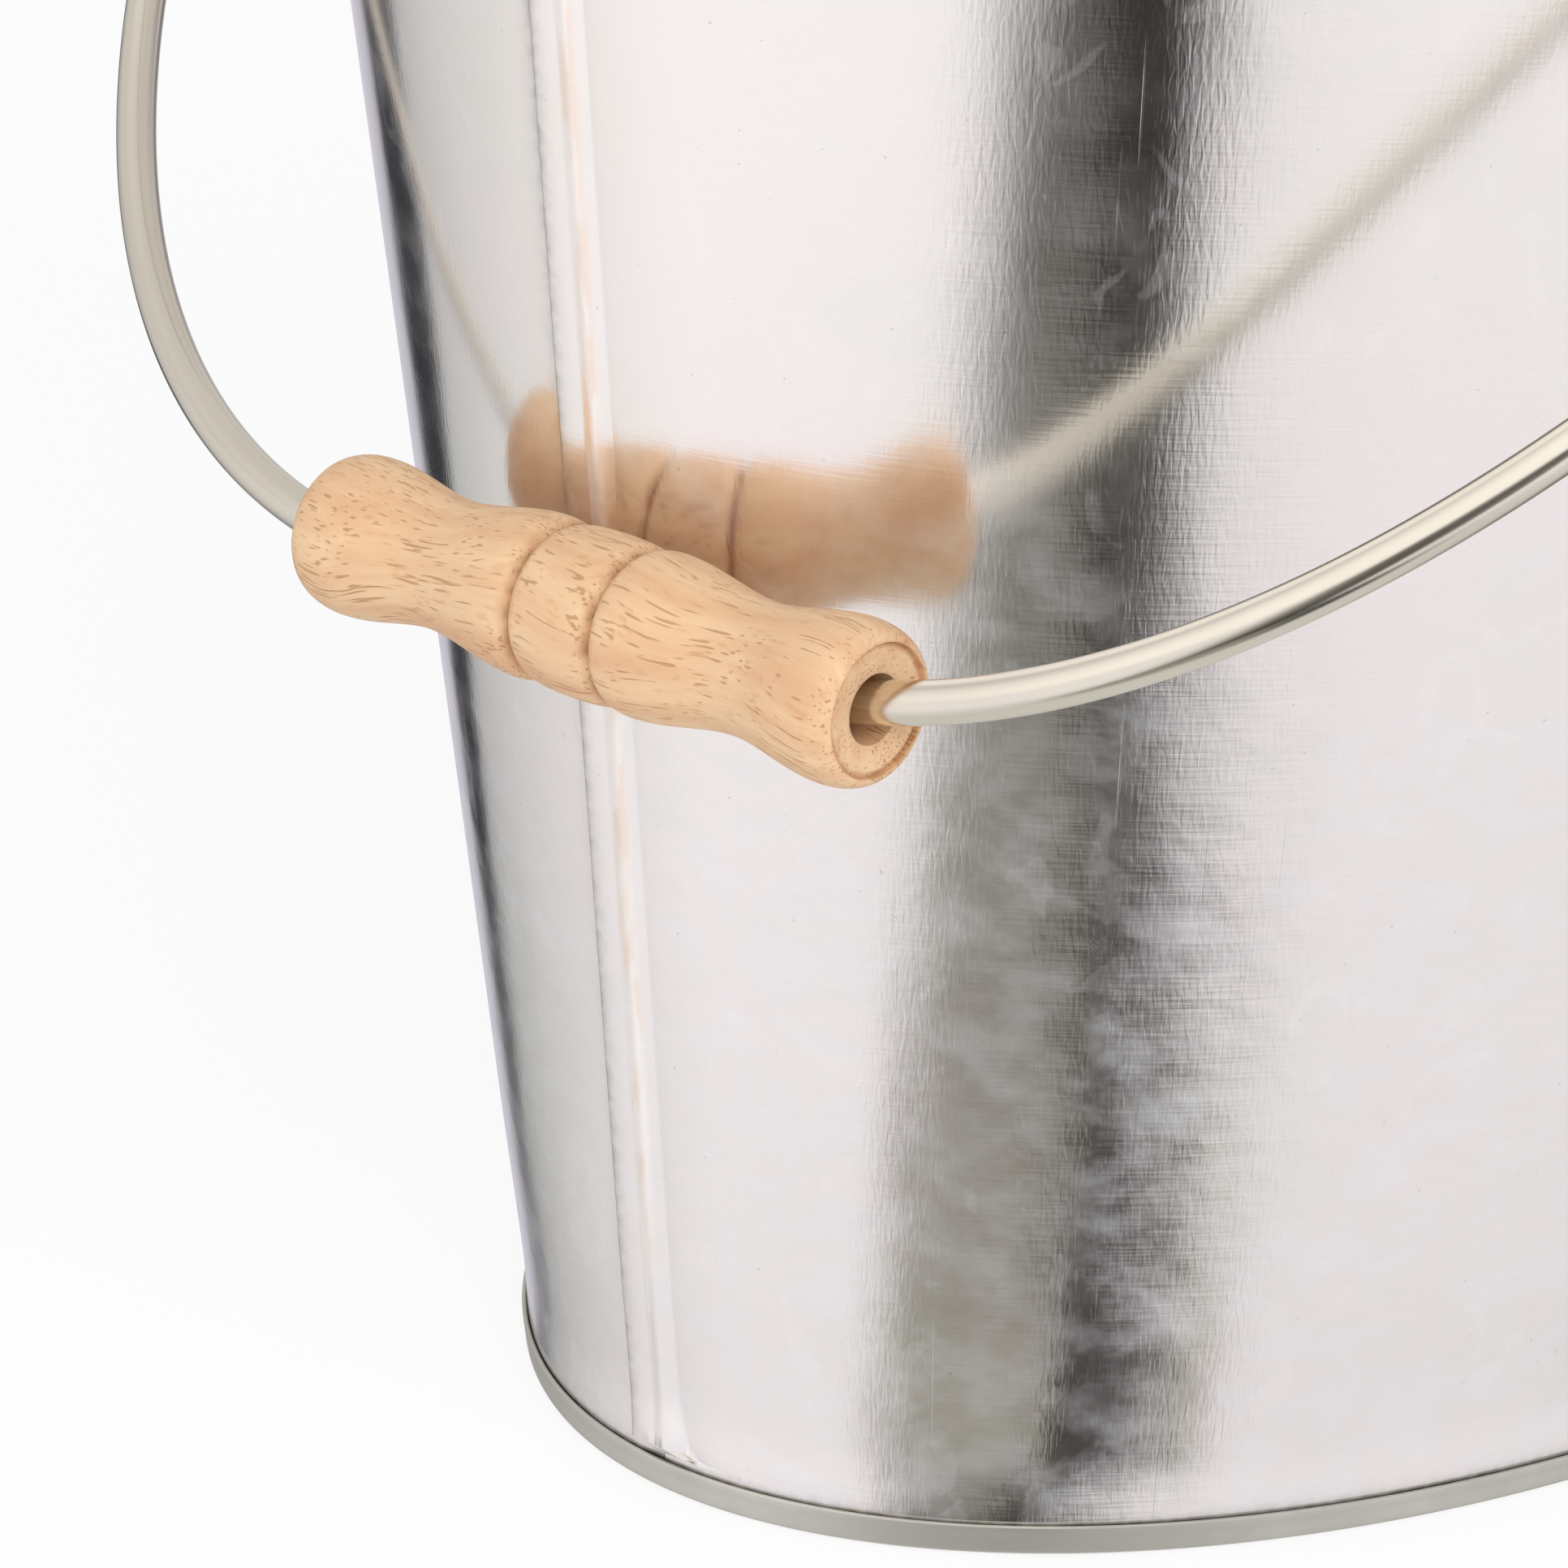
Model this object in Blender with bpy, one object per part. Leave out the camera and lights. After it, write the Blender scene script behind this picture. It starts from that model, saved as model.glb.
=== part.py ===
"""Oval ash bucket in galvanised sheet, with a wire bail and a turned wooden grip.

The body is two identical sheets, lapped at both narrow ends and rolled outwards round a rim wire.
A pan closes the bottom: its edge folds round the foot of the wall and stands on the ground.
The bail swings about Y in two riveted ears and hangs at rest over the -X end.
The origin is on the ground, in the middle of the oval; +X is the long way, +Z is up. Units are metres.
"""

import math

import bmesh
import bpy
from mathutils import Matrix, Vector

# Body of the bucket, measured on the outer face of the sheet
base_length = 0.342
base_width = 0.202
top_length = 0.430
top_width = 0.332
wall_height = 0.358
sheet = 0.0008
clearance = 0.0003
oval_steps = 64

# Lapped seam, the same at both narrow ends
lap_reach = 0.0044
lap_under = 0.0012
lap_slope = 0.0060
lap_flat_share = 0.1
lap_height_shares = (1.0, 1.0, 1.14, 0.65, 0.2, 0.0)
lap_foot = 0.0016
lap_notch = 0.0010
lap_top_fade = 0.010
lap_top_gap = 0.006

# Rolled rim and the wire inside it
rim_wire_diameter = 0.005
roll_turn = math.radians(310.0)
roll_steps = 9
rim_wire_sides = 8

# Bottom pan
band_height = 0.0048
floor_height = 0.008

# Ears and rivets
pivot_drop = 0.020
ear_length = 0.064
ear_height = 0.022
ear_sheet = 0.0015
ear_flange = 0.015
ear_joggle = 0.006
ear_joggle_steps = 4
ear_standoff = 0.005
ear_end_angles = tuple(math.radians(angle) for angle in (0.0, 30.0, 55.0, 72.0))
rivet_spread = 0.049
rivet_shank = 0.0040
rivet_head = 0.0090
rivet_dome = 0.0024
rivet_dome_angles = tuple(math.radians(angle) for angle in (0.0, 25.0, 50.0, 72.0))
rivet_tail = 0.0072
rivet_tail_height = 0.0012
rivet_tail_end = 0.0058
rivet_sides = 16

# Bail
wire_diameter = 0.006
bail_reach = 0.280
bail_half_width = 0.1755
bail_leg = 0.0485
bail_flat = 0.069
bail_offset = -0.0075
bail_bend = 0.006
bail_bend_steps = 4
bail_head_diameter = 0.0092
bail_head_height = 0.0020
bail_head_round = 0.0005
pivot_clearance = 0.0005
pivot_hole_sides = 24
bail_steps = 18
bail_sides = 12

# Turned grip
grip_length = 0.100
grip_offset = -0.0125
grip_drop = 0.0014
grip_gap = 0.0005
grip_bore = 0.0096
knob_diameter = 0.0228
knob_spacing = 0.089
waist_diameter = 0.0185
waist_spacing = 0.057
shoulder_diameter = 0.0231
shoulder_spacing = 0.0208
groove_diameter = 0.0217
groove_spacing = 0.0150
barrel_diameter = 0.0232
face_diameter = 0.0186
face_step = 0.0004
face_ring = 0.0007
grip_sides = 24
grip_curve_steps = 5

# Finishes
smooth_limit = math.radians(35.0)
steel_colour = (0.79, 0.79, 0.78, 1.0)
wire_colour = (0.71, 0.71, 0.66, 1.0)
rivet_colour = (0.66, 0.67, 0.67, 1.0)
wood_colour = (0.80, 0.57, 0.35, 1.0)

# Values that follow from the sizes above
cut_overrun = ear_standoff
lap_rise = sheet + clearance
roll_radius = rim_wire_diameter / 2 + clearance + sheet / 2
roll_centre_height = wall_height - roll_radius - sheet / 2
roll_centre_offset = roll_radius - sheet / 2
wall_foot = sheet + clearance
pivot_height = wall_height - pivot_drop
wire_radius = wire_diameter / 2


def half_axes(height):
    """Half length and half width of the oval's outer face at a height; both grow evenly upwards."""
    share = height / wall_height
    half_length = (base_length + (top_length - base_length) * share) / 2
    half_width = (base_width + (top_width - base_width) * share) / 2
    return half_length, half_width


def oval_point(angle, offset, level, lift=0.0):
    """Point on the oval of a level, moved outwards in plan by an offset and upwards by a lift."""
    half_length, half_width = half_axes(level)
    normal = Vector((half_width * math.cos(angle), half_length * math.sin(angle), 0.0)).normalized()
    foot = Vector((half_length * math.cos(angle), half_width * math.sin(angle), level + lift))
    return foot + normal * offset


def smooth_step(share):
    """Eases from 0 to 1 with a level start and end."""
    share = min(max(share, 0.0), 1.0)
    return share * share * (3.0 - 2.0 * share)


def new_material(name, colour, roughness, metallic):
    """Plain finish for one sub-part."""
    material = bpy.data.materials.new(name)
    material.use_nodes = True
    shader = material.node_tree.nodes["Principled BSDF"]
    shader.inputs["Base Color"].default_value = colour
    shader.inputs["Roughness"].default_value = roughness
    shader.inputs["Metallic"].default_value = metallic
    return material


def galvanised(name):
    return new_material(name + "_finish", steel_colour, 0.28, 1.0)


def zinc_wire(name):
    return new_material(name + "_finish", wire_colour, 0.35, 1.0)


def dull_rivet(name):
    return new_material(name + "_finish", rivet_colour, 0.42, 1.0)


def turned_wood(name):
    return new_material(name + "_finish", wood_colour, 0.55, 0.0)


def add_object(name, mesh, material):
    """Puts a mesh in the scene under its sub-part's name."""
    mesh.materials.append(material)
    mesh.shade_smooth()
    mesh.set_sharp_from_angle(angle=smooth_limit)
    thing = bpy.data.objects.new(name, mesh)
    bpy.context.collection.objects.link(thing)
    return thing


def solid_mesh(name, points, faces):
    """Mesh with every face turned outwards."""
    mesh = bpy.data.meshes.new(name)
    mesh.from_pydata(points, [], faces)
    work = bmesh.new()
    work.from_mesh(mesh)
    bmesh.ops.recalc_face_normals(work, faces=work.faces)
    work.to_mesh(mesh)
    work.free()
    return mesh


def ring_mesh(name, loops, closed=False):
    """Solid through a row of loops, either closed on itself or capped at both ends."""
    count = len(loops[0])
    points = [point for loop in loops for point in loop]
    faces = []
    rounds = len(loops) if closed else len(loops) - 1
    for row in range(rounds):
        here = row * count
        there = (row + 1) % len(loops) * count
        for step in range(count):
            after = (step + 1) % count
            faces.append((here + step, here + after, there + after, there + step))
    if not closed:
        faces.append(tuple(range(count)))
        faces.append(tuple(len(points) - count + step for step in range(count)))
    return solid_mesh(name, points, faces)


def shell_mesh(name, outer, inner):
    """Sheet between two grids of the same size, closed along its four edges."""
    columns = len(outer)
    rows = len(outer[0])
    points = [point for column in outer for point in column]
    points += [point for column in inner for point in column]
    back = columns * rows

    def spot(column, row):
        return column * rows + row

    faces = []
    for column in range(columns - 1):
        for row in range(rows - 1):
            beside, above = column + 1, row + 1
            face = (spot(column, row), spot(beside, row), spot(beside, above), spot(column, above))
            faces.append(face)
            faces.append(tuple(back + corner for corner in reversed(face)))
        for row in (0, rows - 1):
            near, far = spot(column, row), spot(column + 1, row)
            faces.append((near, far, back + far, back + near))
    for column in (0, columns - 1):
        for row in range(rows - 1):
            low, high = spot(column, row), spot(column, row + 1)
            faces.append((low, high, back + high, back + low))
    return solid_mesh(name, points, faces)


def turned_loops(profile, sides):
    """Loops about Z through a list of (radius, height) points."""
    turn = 2.0 * math.pi / sides
    around = [Vector((math.cos(turn * side), math.sin(turn * side), 0.0)) for side in range(sides)]
    return [[radius * spoke + Vector((0.0, 0.0, height)) for spoke in around] for radius, height in profile]


def cut(thing, cutter):
    """Takes a hidden cutter out of an object with a Boolean modifier."""
    cutter.hide_render = True
    cutter.display_type = "WIRE"
    modifier = thing.modifiers.new(cutter.name, "BOOLEAN")
    modifier.operation = "DIFFERENCE"
    modifier.solver = "EXACT"
    modifier.object = cutter


def add_cutter(name, diameter, length, sides, place):
    """Round cutter about its own Z, placed by a matrix."""
    profile = [(diameter / 2, -length / 2), (diameter / 2, length / 2)]
    cutter = bpy.data.objects.new(name, ring_mesh(name, turned_loops(profile, sides)))
    cutter.matrix_world = place
    bpy.context.collection.objects.link(cutter)
    return cutter


def wall_rows():
    """Rows up the sheet as (level, outer offset, outer lift, inner offset, inner lift, reach, rise).

    The sheet climbs straight, then rolls outwards about the rim wire. Reach and rise say how much of the
    seam's lap a row carries: none in the bottom band and in the roll, all of it between. On the way in
    and out the lap is raised before it reaches over the other sheet, so the two never meet.
    """
    lap_bottom = band_height + lap_foot
    lap_top = roll_centre_height - roll_radius - lap_top_gap
    straight = [
        (wall_foot, 0.0, 0.0),
        (lap_bottom - lap_notch, 0.0, 0.0),
        (lap_bottom - lap_notch / 2, 0.0, 1.0),
        (lap_bottom, 1.0, 1.0),
        (lap_top - lap_top_fade, 1.0, 1.0),
        (lap_top - lap_top_fade / 2, 0.0, 1.0),
        (lap_top, 0.0, 0.0),
    ]
    rows = [(level, 0.0, 0.0, -sheet, 0.0, reach, rise) for level, reach, rise in straight]
    outer_radius = roll_radius - sheet / 2
    inner_radius = roll_radius + sheet / 2
    for step in range(roll_steps + 1):
        angle = math.pi - roll_turn * step / roll_steps
        rows.append((
            roll_centre_height,
            roll_centre_offset + outer_radius * math.cos(angle),
            outer_radius * math.sin(angle),
            roll_centre_offset + inner_radius * math.cos(angle),
            inner_radius * math.sin(angle),
            0.0,
            0.0,
        ))
    return rows


def lap_stations():
    """Stations across the outer lap, from its free edge inwards: (place lapped, place butted, height share).

    Places are distances past the apex of the oval; a negative one lies on the sheet's own side.
    """
    count = len(lap_height_shares)
    inner_start = lap_reach * lap_flat_share
    lapped = [lap_reach, inner_start]
    lapped += [-lap_slope * step / (count - 2) for step in range(1, count - 1)]
    butt_gap = clearance / 2
    butted = [-butt_gap - (lap_slope - butt_gap) * step / (count - 1) for step in range(count)]
    return list(zip(lapped, butted, lap_height_shares))


def wall_column(rows, angle_at, height):
    """One column of outer and inner points, raised by a height.

    angle_at turns a level and a reach into an angle.
    """
    outer, inner = [], []
    for level, outer_offset, outer_lift, inner_offset, inner_lift, reach, rise in rows:
        angle = angle_at(level, reach)
        outer.append(oval_point(angle, outer_offset + rise * height, level, outer_lift))
        inner.append(oval_point(angle, inner_offset + rise * height, level, inner_lift))
    return outer, inner


def apex_angle(apex, side, lapped, butted):
    """Function for a station that keeps its distance from the apex as the oval grows."""
    def angle_at(level, reach):
        place = lapped * reach + butted * (1.0 - reach)
        return apex + side * place / half_axes(level)[1]
    return angle_at


def wall_mesh():
    """Half the body: from the outer lap at the -X end, round the -Y side, to the plain edge at the +X end."""
    rows = wall_rows()
    columns = []
    for lapped, butted, height_share in lap_stations():
        columns.append(wall_column(rows, apex_angle(math.pi, -1.0, lapped, butted), lap_rise * height_share))
    steps = list(range(1, oval_steps // 2)) + [oval_steps / 2 - 0.5]
    for step in steps:
        angle = math.pi + 2.0 * math.pi * step / oval_steps
        columns.append(wall_column(rows, lambda level, reach, angle=angle: angle, 0.0))
    columns.append(wall_column(rows, apex_angle(2.0 * math.pi, 1.0, lap_under, -clearance / 2), 0.0))
    return shell_mesh("wall_sheet", [column[0] for column in columns], [column[1] for column in columns])


def add_walls():
    """The two sheets, one turned half a round from the other."""
    near = add_object("wall_near", wall_mesh(), galvanised("wall_near"))
    far = add_object("wall_far", wall_mesh(), galvanised("wall_far"))
    far.rotation_euler = (0.0, 0.0, math.pi)
    return near, far


def oval_angles():
    """Angles of the steps round the oval, with one more each side of both narrow ends."""
    step = 2.0 * math.pi / oval_steps
    angles = [step * number for number in range(oval_steps)]
    for apex in (0.0, math.pi):
        angles += [apex + step / 2, (apex - step / 2) % (2.0 * math.pi)]
    return sorted(angles)


def add_base_pan():
    """Pan whose edge goes down inside the wall, under its foot and up outside it as a low band."""
    inner_leg_outer = -sheet - clearance
    inner_leg_inner = inner_leg_outer - sheet
    band_inner = clearance
    band_outer = clearance + sheet
    edge_round = sheet / 2
    profile = [
        (inner_leg_outer - edge_round, floor_height),
        (inner_leg_outer, floor_height - edge_round),
        (inner_leg_outer, sheet),
        (band_inner, sheet),
        (band_inner, band_height),
        (band_outer, band_height),
        (band_outer, edge_round),
        (band_outer - edge_round, 0.0),
        (inner_leg_inner, 0.0),
        (inner_leg_inner, floor_height - sheet),
    ]
    angles = oval_angles()
    loops = []
    for offset, height in profile:
        loop = [oval_point(angle, offset, height) for angle in angles]
        loops.append(loop)
    return add_object("base_pan", ring_mesh("base_pan", loops), galvanised("base_pan"))


def add_rim_wire():
    """Closed wire inside the rolled rim."""
    turn = 2.0 * math.pi / rim_wire_sides
    radius = rim_wire_diameter / 2
    loops = []
    for angle in oval_angles():
        loop = []
        for side in range(rim_wire_sides):
            offset = roll_centre_offset + radius * math.cos(turn * side)
            loop.append(oval_point(angle, offset, roll_centre_height, radius * math.sin(turn * side)))
        loops.append(loop)
    return add_object("rim_wire", ring_mesh("rim_wire", loops, closed=True), zinc_wire("rim_wire"))


def side_distance(x, height):
    """How far the wall's outer face lies from the long axis at a place along it."""
    half_length, half_width = half_axes(height)
    return half_width * math.sqrt(1.0 - (x / half_length) ** 2)


def ear_columns():
    """Places along an ear as (x, half height): a rounded end, the joggle, and the same mirrored."""
    end_radius = ear_height / 2
    straight_end = ear_length / 2 - end_radius
    columns = [
        (straight_end + end_radius * math.sin(angle), end_radius * math.cos(angle))
        for angle in reversed(ear_end_angles)
    ]
    joggle_start = ear_length / 2 - ear_flange
    columns = [(x, half) for x, half in columns if x > joggle_start]
    for step in range(ear_joggle_steps + 1):
        columns.append((joggle_start - ear_joggle * step / ear_joggle_steps, end_radius))
    return [(-x, half) for x, half in columns] + [(x, half) for x, half in reversed(columns)]


def ear_plate_distance():
    """Distance from the long axis to the inner face of an ear's raised middle, which stands upright."""
    return side_distance(0.0, pivot_height) + clearance + ear_standoff


def ear_inner(x, height):
    """Distance of the ear's inner face from the long axis: on the wall at its ends, raised in the middle."""
    on_wall = side_distance(x, height) + clearance
    joggle_start = ear_length / 2 - ear_flange
    raised = smooth_step((joggle_start - abs(x)) / ear_joggle)
    return on_wall + (ear_plate_distance() - on_wall) * raised


def add_ear(name, side):
    """Pressed ear with a raised middle that carries the bail; side is -1 for near and 1 for far."""
    outer, inner = [], []
    for x, half in ear_columns():
        outer_column, inner_column = [], []
        for share in (-1.0, 1.0):
            height = pivot_height + half * share
            distance = ear_inner(x, height)
            inner_column.append(Vector((x, side * distance, height)))
            outer_column.append(Vector((x, side * (distance + ear_sheet), height)))
        inner.append(inner_column)
        outer.append(outer_column)
    return add_object(name, shell_mesh(name, outer, inner), galvanised(name))


def rivet_place(x, side):
    """Matrix at a rivet on the wall's outer face, with Z out along the wall's normal."""
    step = sheet
    here = side_distance(x, pivot_height)
    along = Vector((step, side * (side_distance(x + step, pivot_height) - here), 0.0))
    upward = Vector((0.0, side * (side_distance(x, pivot_height + step) - here), step))
    normal = along.cross(upward).normalized() * -side
    across = along.normalized()
    turn = Matrix((across, normal.cross(across), normal)).transposed().to_4x4()
    return Matrix.Translation(Vector((x, side * here, pivot_height))) @ turn


def rivet_profile():
    """Half outline of a rivet from its tail inside the bucket to its dome, as (radius, height) points.

    Height 0 is the wall's outer face.
    """
    shank = rivet_shank / 2
    tail = rivet_tail / 2
    tail_top = -sheet - clearance
    head_foot = clearance + ear_sheet + clearance
    head = rivet_head / 2
    dome = [
        (head * math.cos(angle), head_foot + rivet_dome * math.sin(angle))
        for angle in rivet_dome_angles
    ]
    return [
        (rivet_tail_end / 2, tail_top - rivet_tail_height),
        (tail, tail_top - rivet_tail_height / 2),
        (tail, tail_top),
        (shank, tail_top),
        (shank, head_foot),
    ] + dome


def add_rivet(name, place):
    """One rivet through an ear and the wall."""
    rivet = add_object(name, ring_mesh(name, turned_loops(rivet_profile(), rivet_sides)), dull_rivet(name))
    rivet.matrix_world = place
    return rivet


def add_ears_and_rivets(near_wall, far_wall):
    """Both ears with their rivets, and the holes that the rivets and the bail pass through."""
    for side_name, side, wall in (("near", -1.0, near_wall), ("far", 1.0, far_wall)):
        ear = add_ear("ear_" + side_name, side)
        plate_distance = ear_plate_distance() + ear_sheet / 2
        pin_hole = Matrix.Translation(Vector((0.0, side * plate_distance, pivot_height)))
        pin_hole = pin_hole @ Matrix.Rotation(math.pi / 2, 4, "X")
        pivot_bore = wire_diameter + 2 * pivot_clearance
        hole_length = ear_sheet + cut_overrun
        pin_label = "pin_cutter_" + side_name
        cut(ear, add_cutter(pin_label, pivot_bore, hole_length, pivot_hole_sides, pin_hole))
        for end_name, end in (("left", -1.0), ("right", 1.0)):
            place = rivet_place(end * rivet_spread / 2, side)
            label = side_name + "_" + end_name
            add_rivet("rivet_" + label, place)
            hole = rivet_shank + 2 * clearance
            hole_cutter = add_cutter("rivet_cutter_" + label, hole, 2 * cut_overrun, rivet_sides, place)
            cut(ear, hole_cutter)
            cut(wall, hole_cutter)


def bail_half_path(side):
    """Centre line of half the bail in its own plane, from the pin's tip to the flat: (across, down, radius).

    The pin's upset head comes first, then the pin, the bend, the straight leg and a quarter of an ellipse.
    """
    head_face = ear_plate_distance() - clearance
    pin_tip = head_face - bail_head_height
    head_radius = bail_head_diameter / 2
    path = [
        (pin_tip, 0.0, head_radius - bail_head_round),
        (pin_tip + bail_head_round, 0.0, head_radius),
        (head_face - bail_head_round / 2, 0.0, head_radius),
        (head_face, 0.0, wire_radius),
    ]
    for step in range(bail_bend_steps + 1):
        angle = math.pi / 2 * step / bail_bend_steps
        path.append((
            bail_half_width - bail_bend + bail_bend * math.sin(angle),
            bail_bend - bail_bend * math.cos(angle),
            wire_radius,
        ))
    flat_end = bail_flat / 2 + side * bail_offset
    for step in range(bail_steps + 1):
        angle = math.pi / 2 * step / bail_steps
        path.append((
            flat_end + (bail_half_width - flat_end) * math.cos(angle),
            bail_leg + (bail_reach - bail_leg) * math.sin(angle),
            wire_radius,
        ))
    return [(side * across, down, radius) for across, down, radius in path]


def resting_angle():
    """How far the bail hangs from straight down when the grip stops just clear of the lap at the -X end.

    Seen from the side, the wall's end is a line that leans outwards, and the grip swings about the pivot.
    """
    lean = math.atan((top_length - base_length) / 2 / wall_height)
    end_distance = half_axes(pivot_height)[0] * math.cos(lean)
    stand_off = barrel_diameter / 2 + lap_rise * max(lap_height_shares) + grip_gap
    return math.asin((end_distance + stand_off) / (bail_reach - grip_drop)) - lean


def add_bail():
    """Wire bail drawn hanging straight down from its pivot axis, then swung to its resting place."""
    path = bail_half_path(-1.0) + list(reversed(bail_half_path(1.0)))
    turn = 2.0 * math.pi / bail_sides
    loops = []
    for number, (across, down, radius) in enumerate(path):
        before = path[max(number - 1, 0)]
        after = path[min(number + 1, len(path) - 1)]
        forward = Vector((0.0, after[0] - before[0], before[1] - after[1])).normalized()
        sideways = Vector((1.0, 0.0, 0.0))
        third = forward.cross(sideways)
        centre = Vector((0.0, across, -down))
        loops.append([
            centre + sideways * (radius * math.cos(turn * side)) + third * (radius * math.sin(turn * side))
            for side in range(bail_sides)
        ])
    bail = add_object("bail_wire", ring_mesh("bail_wire", loops), zinc_wire("bail_wire"))
    bail.location = (0.0, 0.0, pivot_height)
    bail.rotation_euler = (0.0, resting_angle(), 0.0)
    return bail


def eased_run(start, end, steps):
    """Points from one (place, radius) to the next with level ends, the last one left out."""
    points = []
    for step in range(steps):
        share = step / steps
        place = start[0] + (end[0] - start[0]) * share
        radius = start[1] + (end[1] - start[1]) * smooth_step(share)
        points.append((place, radius))
    return points


def grip_half_profile():
    """Outline of half the grip from its middle to its end face, as (place along the axis, radius)."""
    barrel = (0.0, barrel_diameter / 2)
    groove_half = (shoulder_spacing - groove_spacing) / 4
    barrel_end = (groove_spacing / 2 - groove_half, (barrel_diameter + shoulder_diameter) / 4)
    groove = (groove_spacing / 2, groove_diameter / 2)
    shoulder = (shoulder_spacing / 2, shoulder_diameter / 2)
    waist = (waist_spacing / 2, waist_diameter / 2)
    knob = (knob_spacing / 2, knob_diameter / 2)
    points = eased_run(barrel, barrel_end, 2)
    points.append(barrel_end)
    points.append(groove)
    points.append((groove_spacing / 2 + groove_half, shoulder_diameter / 2))
    points += eased_run(shoulder, waist, grip_curve_steps)
    points += eased_run(waist, knob, grip_curve_steps)
    end_depth = (grip_length - knob_spacing) / 2
    edge_height = (knob_diameter - face_diameter) / 2
    for step in range(grip_curve_steps):
        angle = math.pi / 2 * step / grip_curve_steps
        place = knob[0] + end_depth * math.sin(angle)
        points.append((place, knob[1] - edge_height * (1.0 - math.cos(angle))))
    points.append((grip_length / 2, face_diameter / 2))
    points.append((grip_length / 2 - face_step, face_diameter / 2 - face_ring))
    points.append((grip_length / 2 - face_step, grip_bore / 2 + face_ring))
    points.append((grip_length / 2 - face_step - face_ring, grip_bore / 2))
    return points


def add_grip(bail):
    """Turned grip threaded on the bail's straight stretch, free to spin about its own axis."""
    half = grip_half_profile()
    profile = [(radius, -place) for place, radius in reversed(half[1:])]
    profile += [(radius, place) for place, radius in half]
    mesh = ring_mesh("grip", turned_loops(profile, grip_sides), closed=True)
    grip = add_object("grip", mesh, turned_wood("grip"))
    grip.parent = bail
    grip.location = (0.0, grip_offset, grip_drop - bail_reach)
    grip.rotation_euler = (math.pi / 2, 0.0, 0.0)
    return grip


def clear_scene():
    for thing in list(bpy.data.objects):
        bpy.data.objects.remove(thing, do_unlink=True)


def build_bucket():
    clear_scene()
    near_wall, far_wall = add_walls()
    add_base_pan()
    add_rim_wire()
    add_ears_and_rivets(near_wall, far_wall)
    bail = add_bail()
    add_grip(bail)
    bpy.context.view_layer.update()


build_bucket()
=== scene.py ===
"""Looks of the oval ash bucket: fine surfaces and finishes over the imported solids, in a plain white studio.

Units are metres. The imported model's frame is kept: the ground is z = 0, +X is the long way of the oval.
"""

from functools import partial
import math

import bpy
import numpy as np
from mathutils import Matrix, Vector


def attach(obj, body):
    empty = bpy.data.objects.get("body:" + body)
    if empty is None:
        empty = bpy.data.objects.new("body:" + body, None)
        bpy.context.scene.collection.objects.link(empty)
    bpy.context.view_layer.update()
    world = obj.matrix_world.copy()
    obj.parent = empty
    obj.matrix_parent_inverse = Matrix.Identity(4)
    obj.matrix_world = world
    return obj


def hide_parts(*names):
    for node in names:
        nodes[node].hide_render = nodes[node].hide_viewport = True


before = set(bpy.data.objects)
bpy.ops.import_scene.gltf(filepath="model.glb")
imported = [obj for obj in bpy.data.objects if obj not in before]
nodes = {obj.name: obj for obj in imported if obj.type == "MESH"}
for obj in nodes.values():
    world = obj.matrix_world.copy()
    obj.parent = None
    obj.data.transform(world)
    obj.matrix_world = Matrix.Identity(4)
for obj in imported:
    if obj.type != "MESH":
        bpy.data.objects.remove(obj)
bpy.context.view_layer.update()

# Body of the bucket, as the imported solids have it
base_length = 0.342
base_width = 0.202
top_length = 0.430
top_width = 0.332
wall_height = 0.358
sheet = 0.0008
clearance = 0.0003
rim_wire_diameter = 0.005
roll_turn = math.radians(310.0)
band_height = 0.0048
floor_height = 0.008
lap_under = 0.0012
lap_foot = 0.0022
lap_top_fade = 0.010
lap_top_gap = 0.006
lap_crown_share = 1.14

# Ears, bail and grip
pivot_height = 0.338
ear_standoff = 0.005
wire_diameter = 0.006
bail_reach = 0.280
bail_half_width = 0.1755
bail_leg = 0.0485
bail_flat = 0.069
bail_offset = -0.0075
bail_bend = 0.006
bail_head_diameter = 0.0092
bail_head_height = 0.0020
grip_length = 0.100
grip_offset = -0.0125
grip_drop = 0.0014
grip_gap = 0.0005
grip_bore = 0.0096
knob_diameter = 0.0228
knob_spacing = 0.089
waist_diameter = 0.0185
waist_spacing = 0.057
shoulder_diameter = 0.0231
shoulder_spacing = 0.0208
groove_spacing = 0.0150
barrel_diameter = 0.0232
face_diameter = 0.0186
face_ring = 0.0007

# Values that follow from the sizes above
lap_rise = sheet + clearance
roll_radius = rim_wire_diameter / 2 + clearance + sheet / 2
roll_centre_height = wall_height - roll_radius - sheet / 2
roll_centre_offset = roll_radius - sheet / 2
wire_radius = wire_diameter / 2


def smooth_step(share):
    """3 s^2 - 2 s^3, with s held between 0 and 1."""
    held = np.clip(share, 0.0, 1.0)
    return held * held * (3.0 - 2.0 * held)


def half_axes(level):
    """Half length and half width of the wall's outer face; both grow evenly with the level."""
    share = np.asarray(level, float) / wall_height
    half_length = (base_length + (top_length - base_length) * share) / 2
    half_width = (base_width + (top_width - base_width) * share) / 2
    return half_length, half_width


def oval_points(angle, offset, level, lift=0.0):
    """(a cos t, b sin t) on the oval of a level, moved outwards along its plan normal and then lifted."""
    angle, offset, level, lift = np.broadcast_arrays(angle, offset, level, lift)
    half_length, half_width = half_axes(level)
    across = np.stack([half_width * np.cos(angle), half_length * np.sin(angle)], -1)
    across /= np.linalg.norm(across, axis=-1, keepdims=True)
    foot = np.stack([half_length * np.cos(angle), half_width * np.sin(angle)], -1)
    return np.concatenate([foot + across * offset[..., None], (level + lift)[..., None]], -1)


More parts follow.
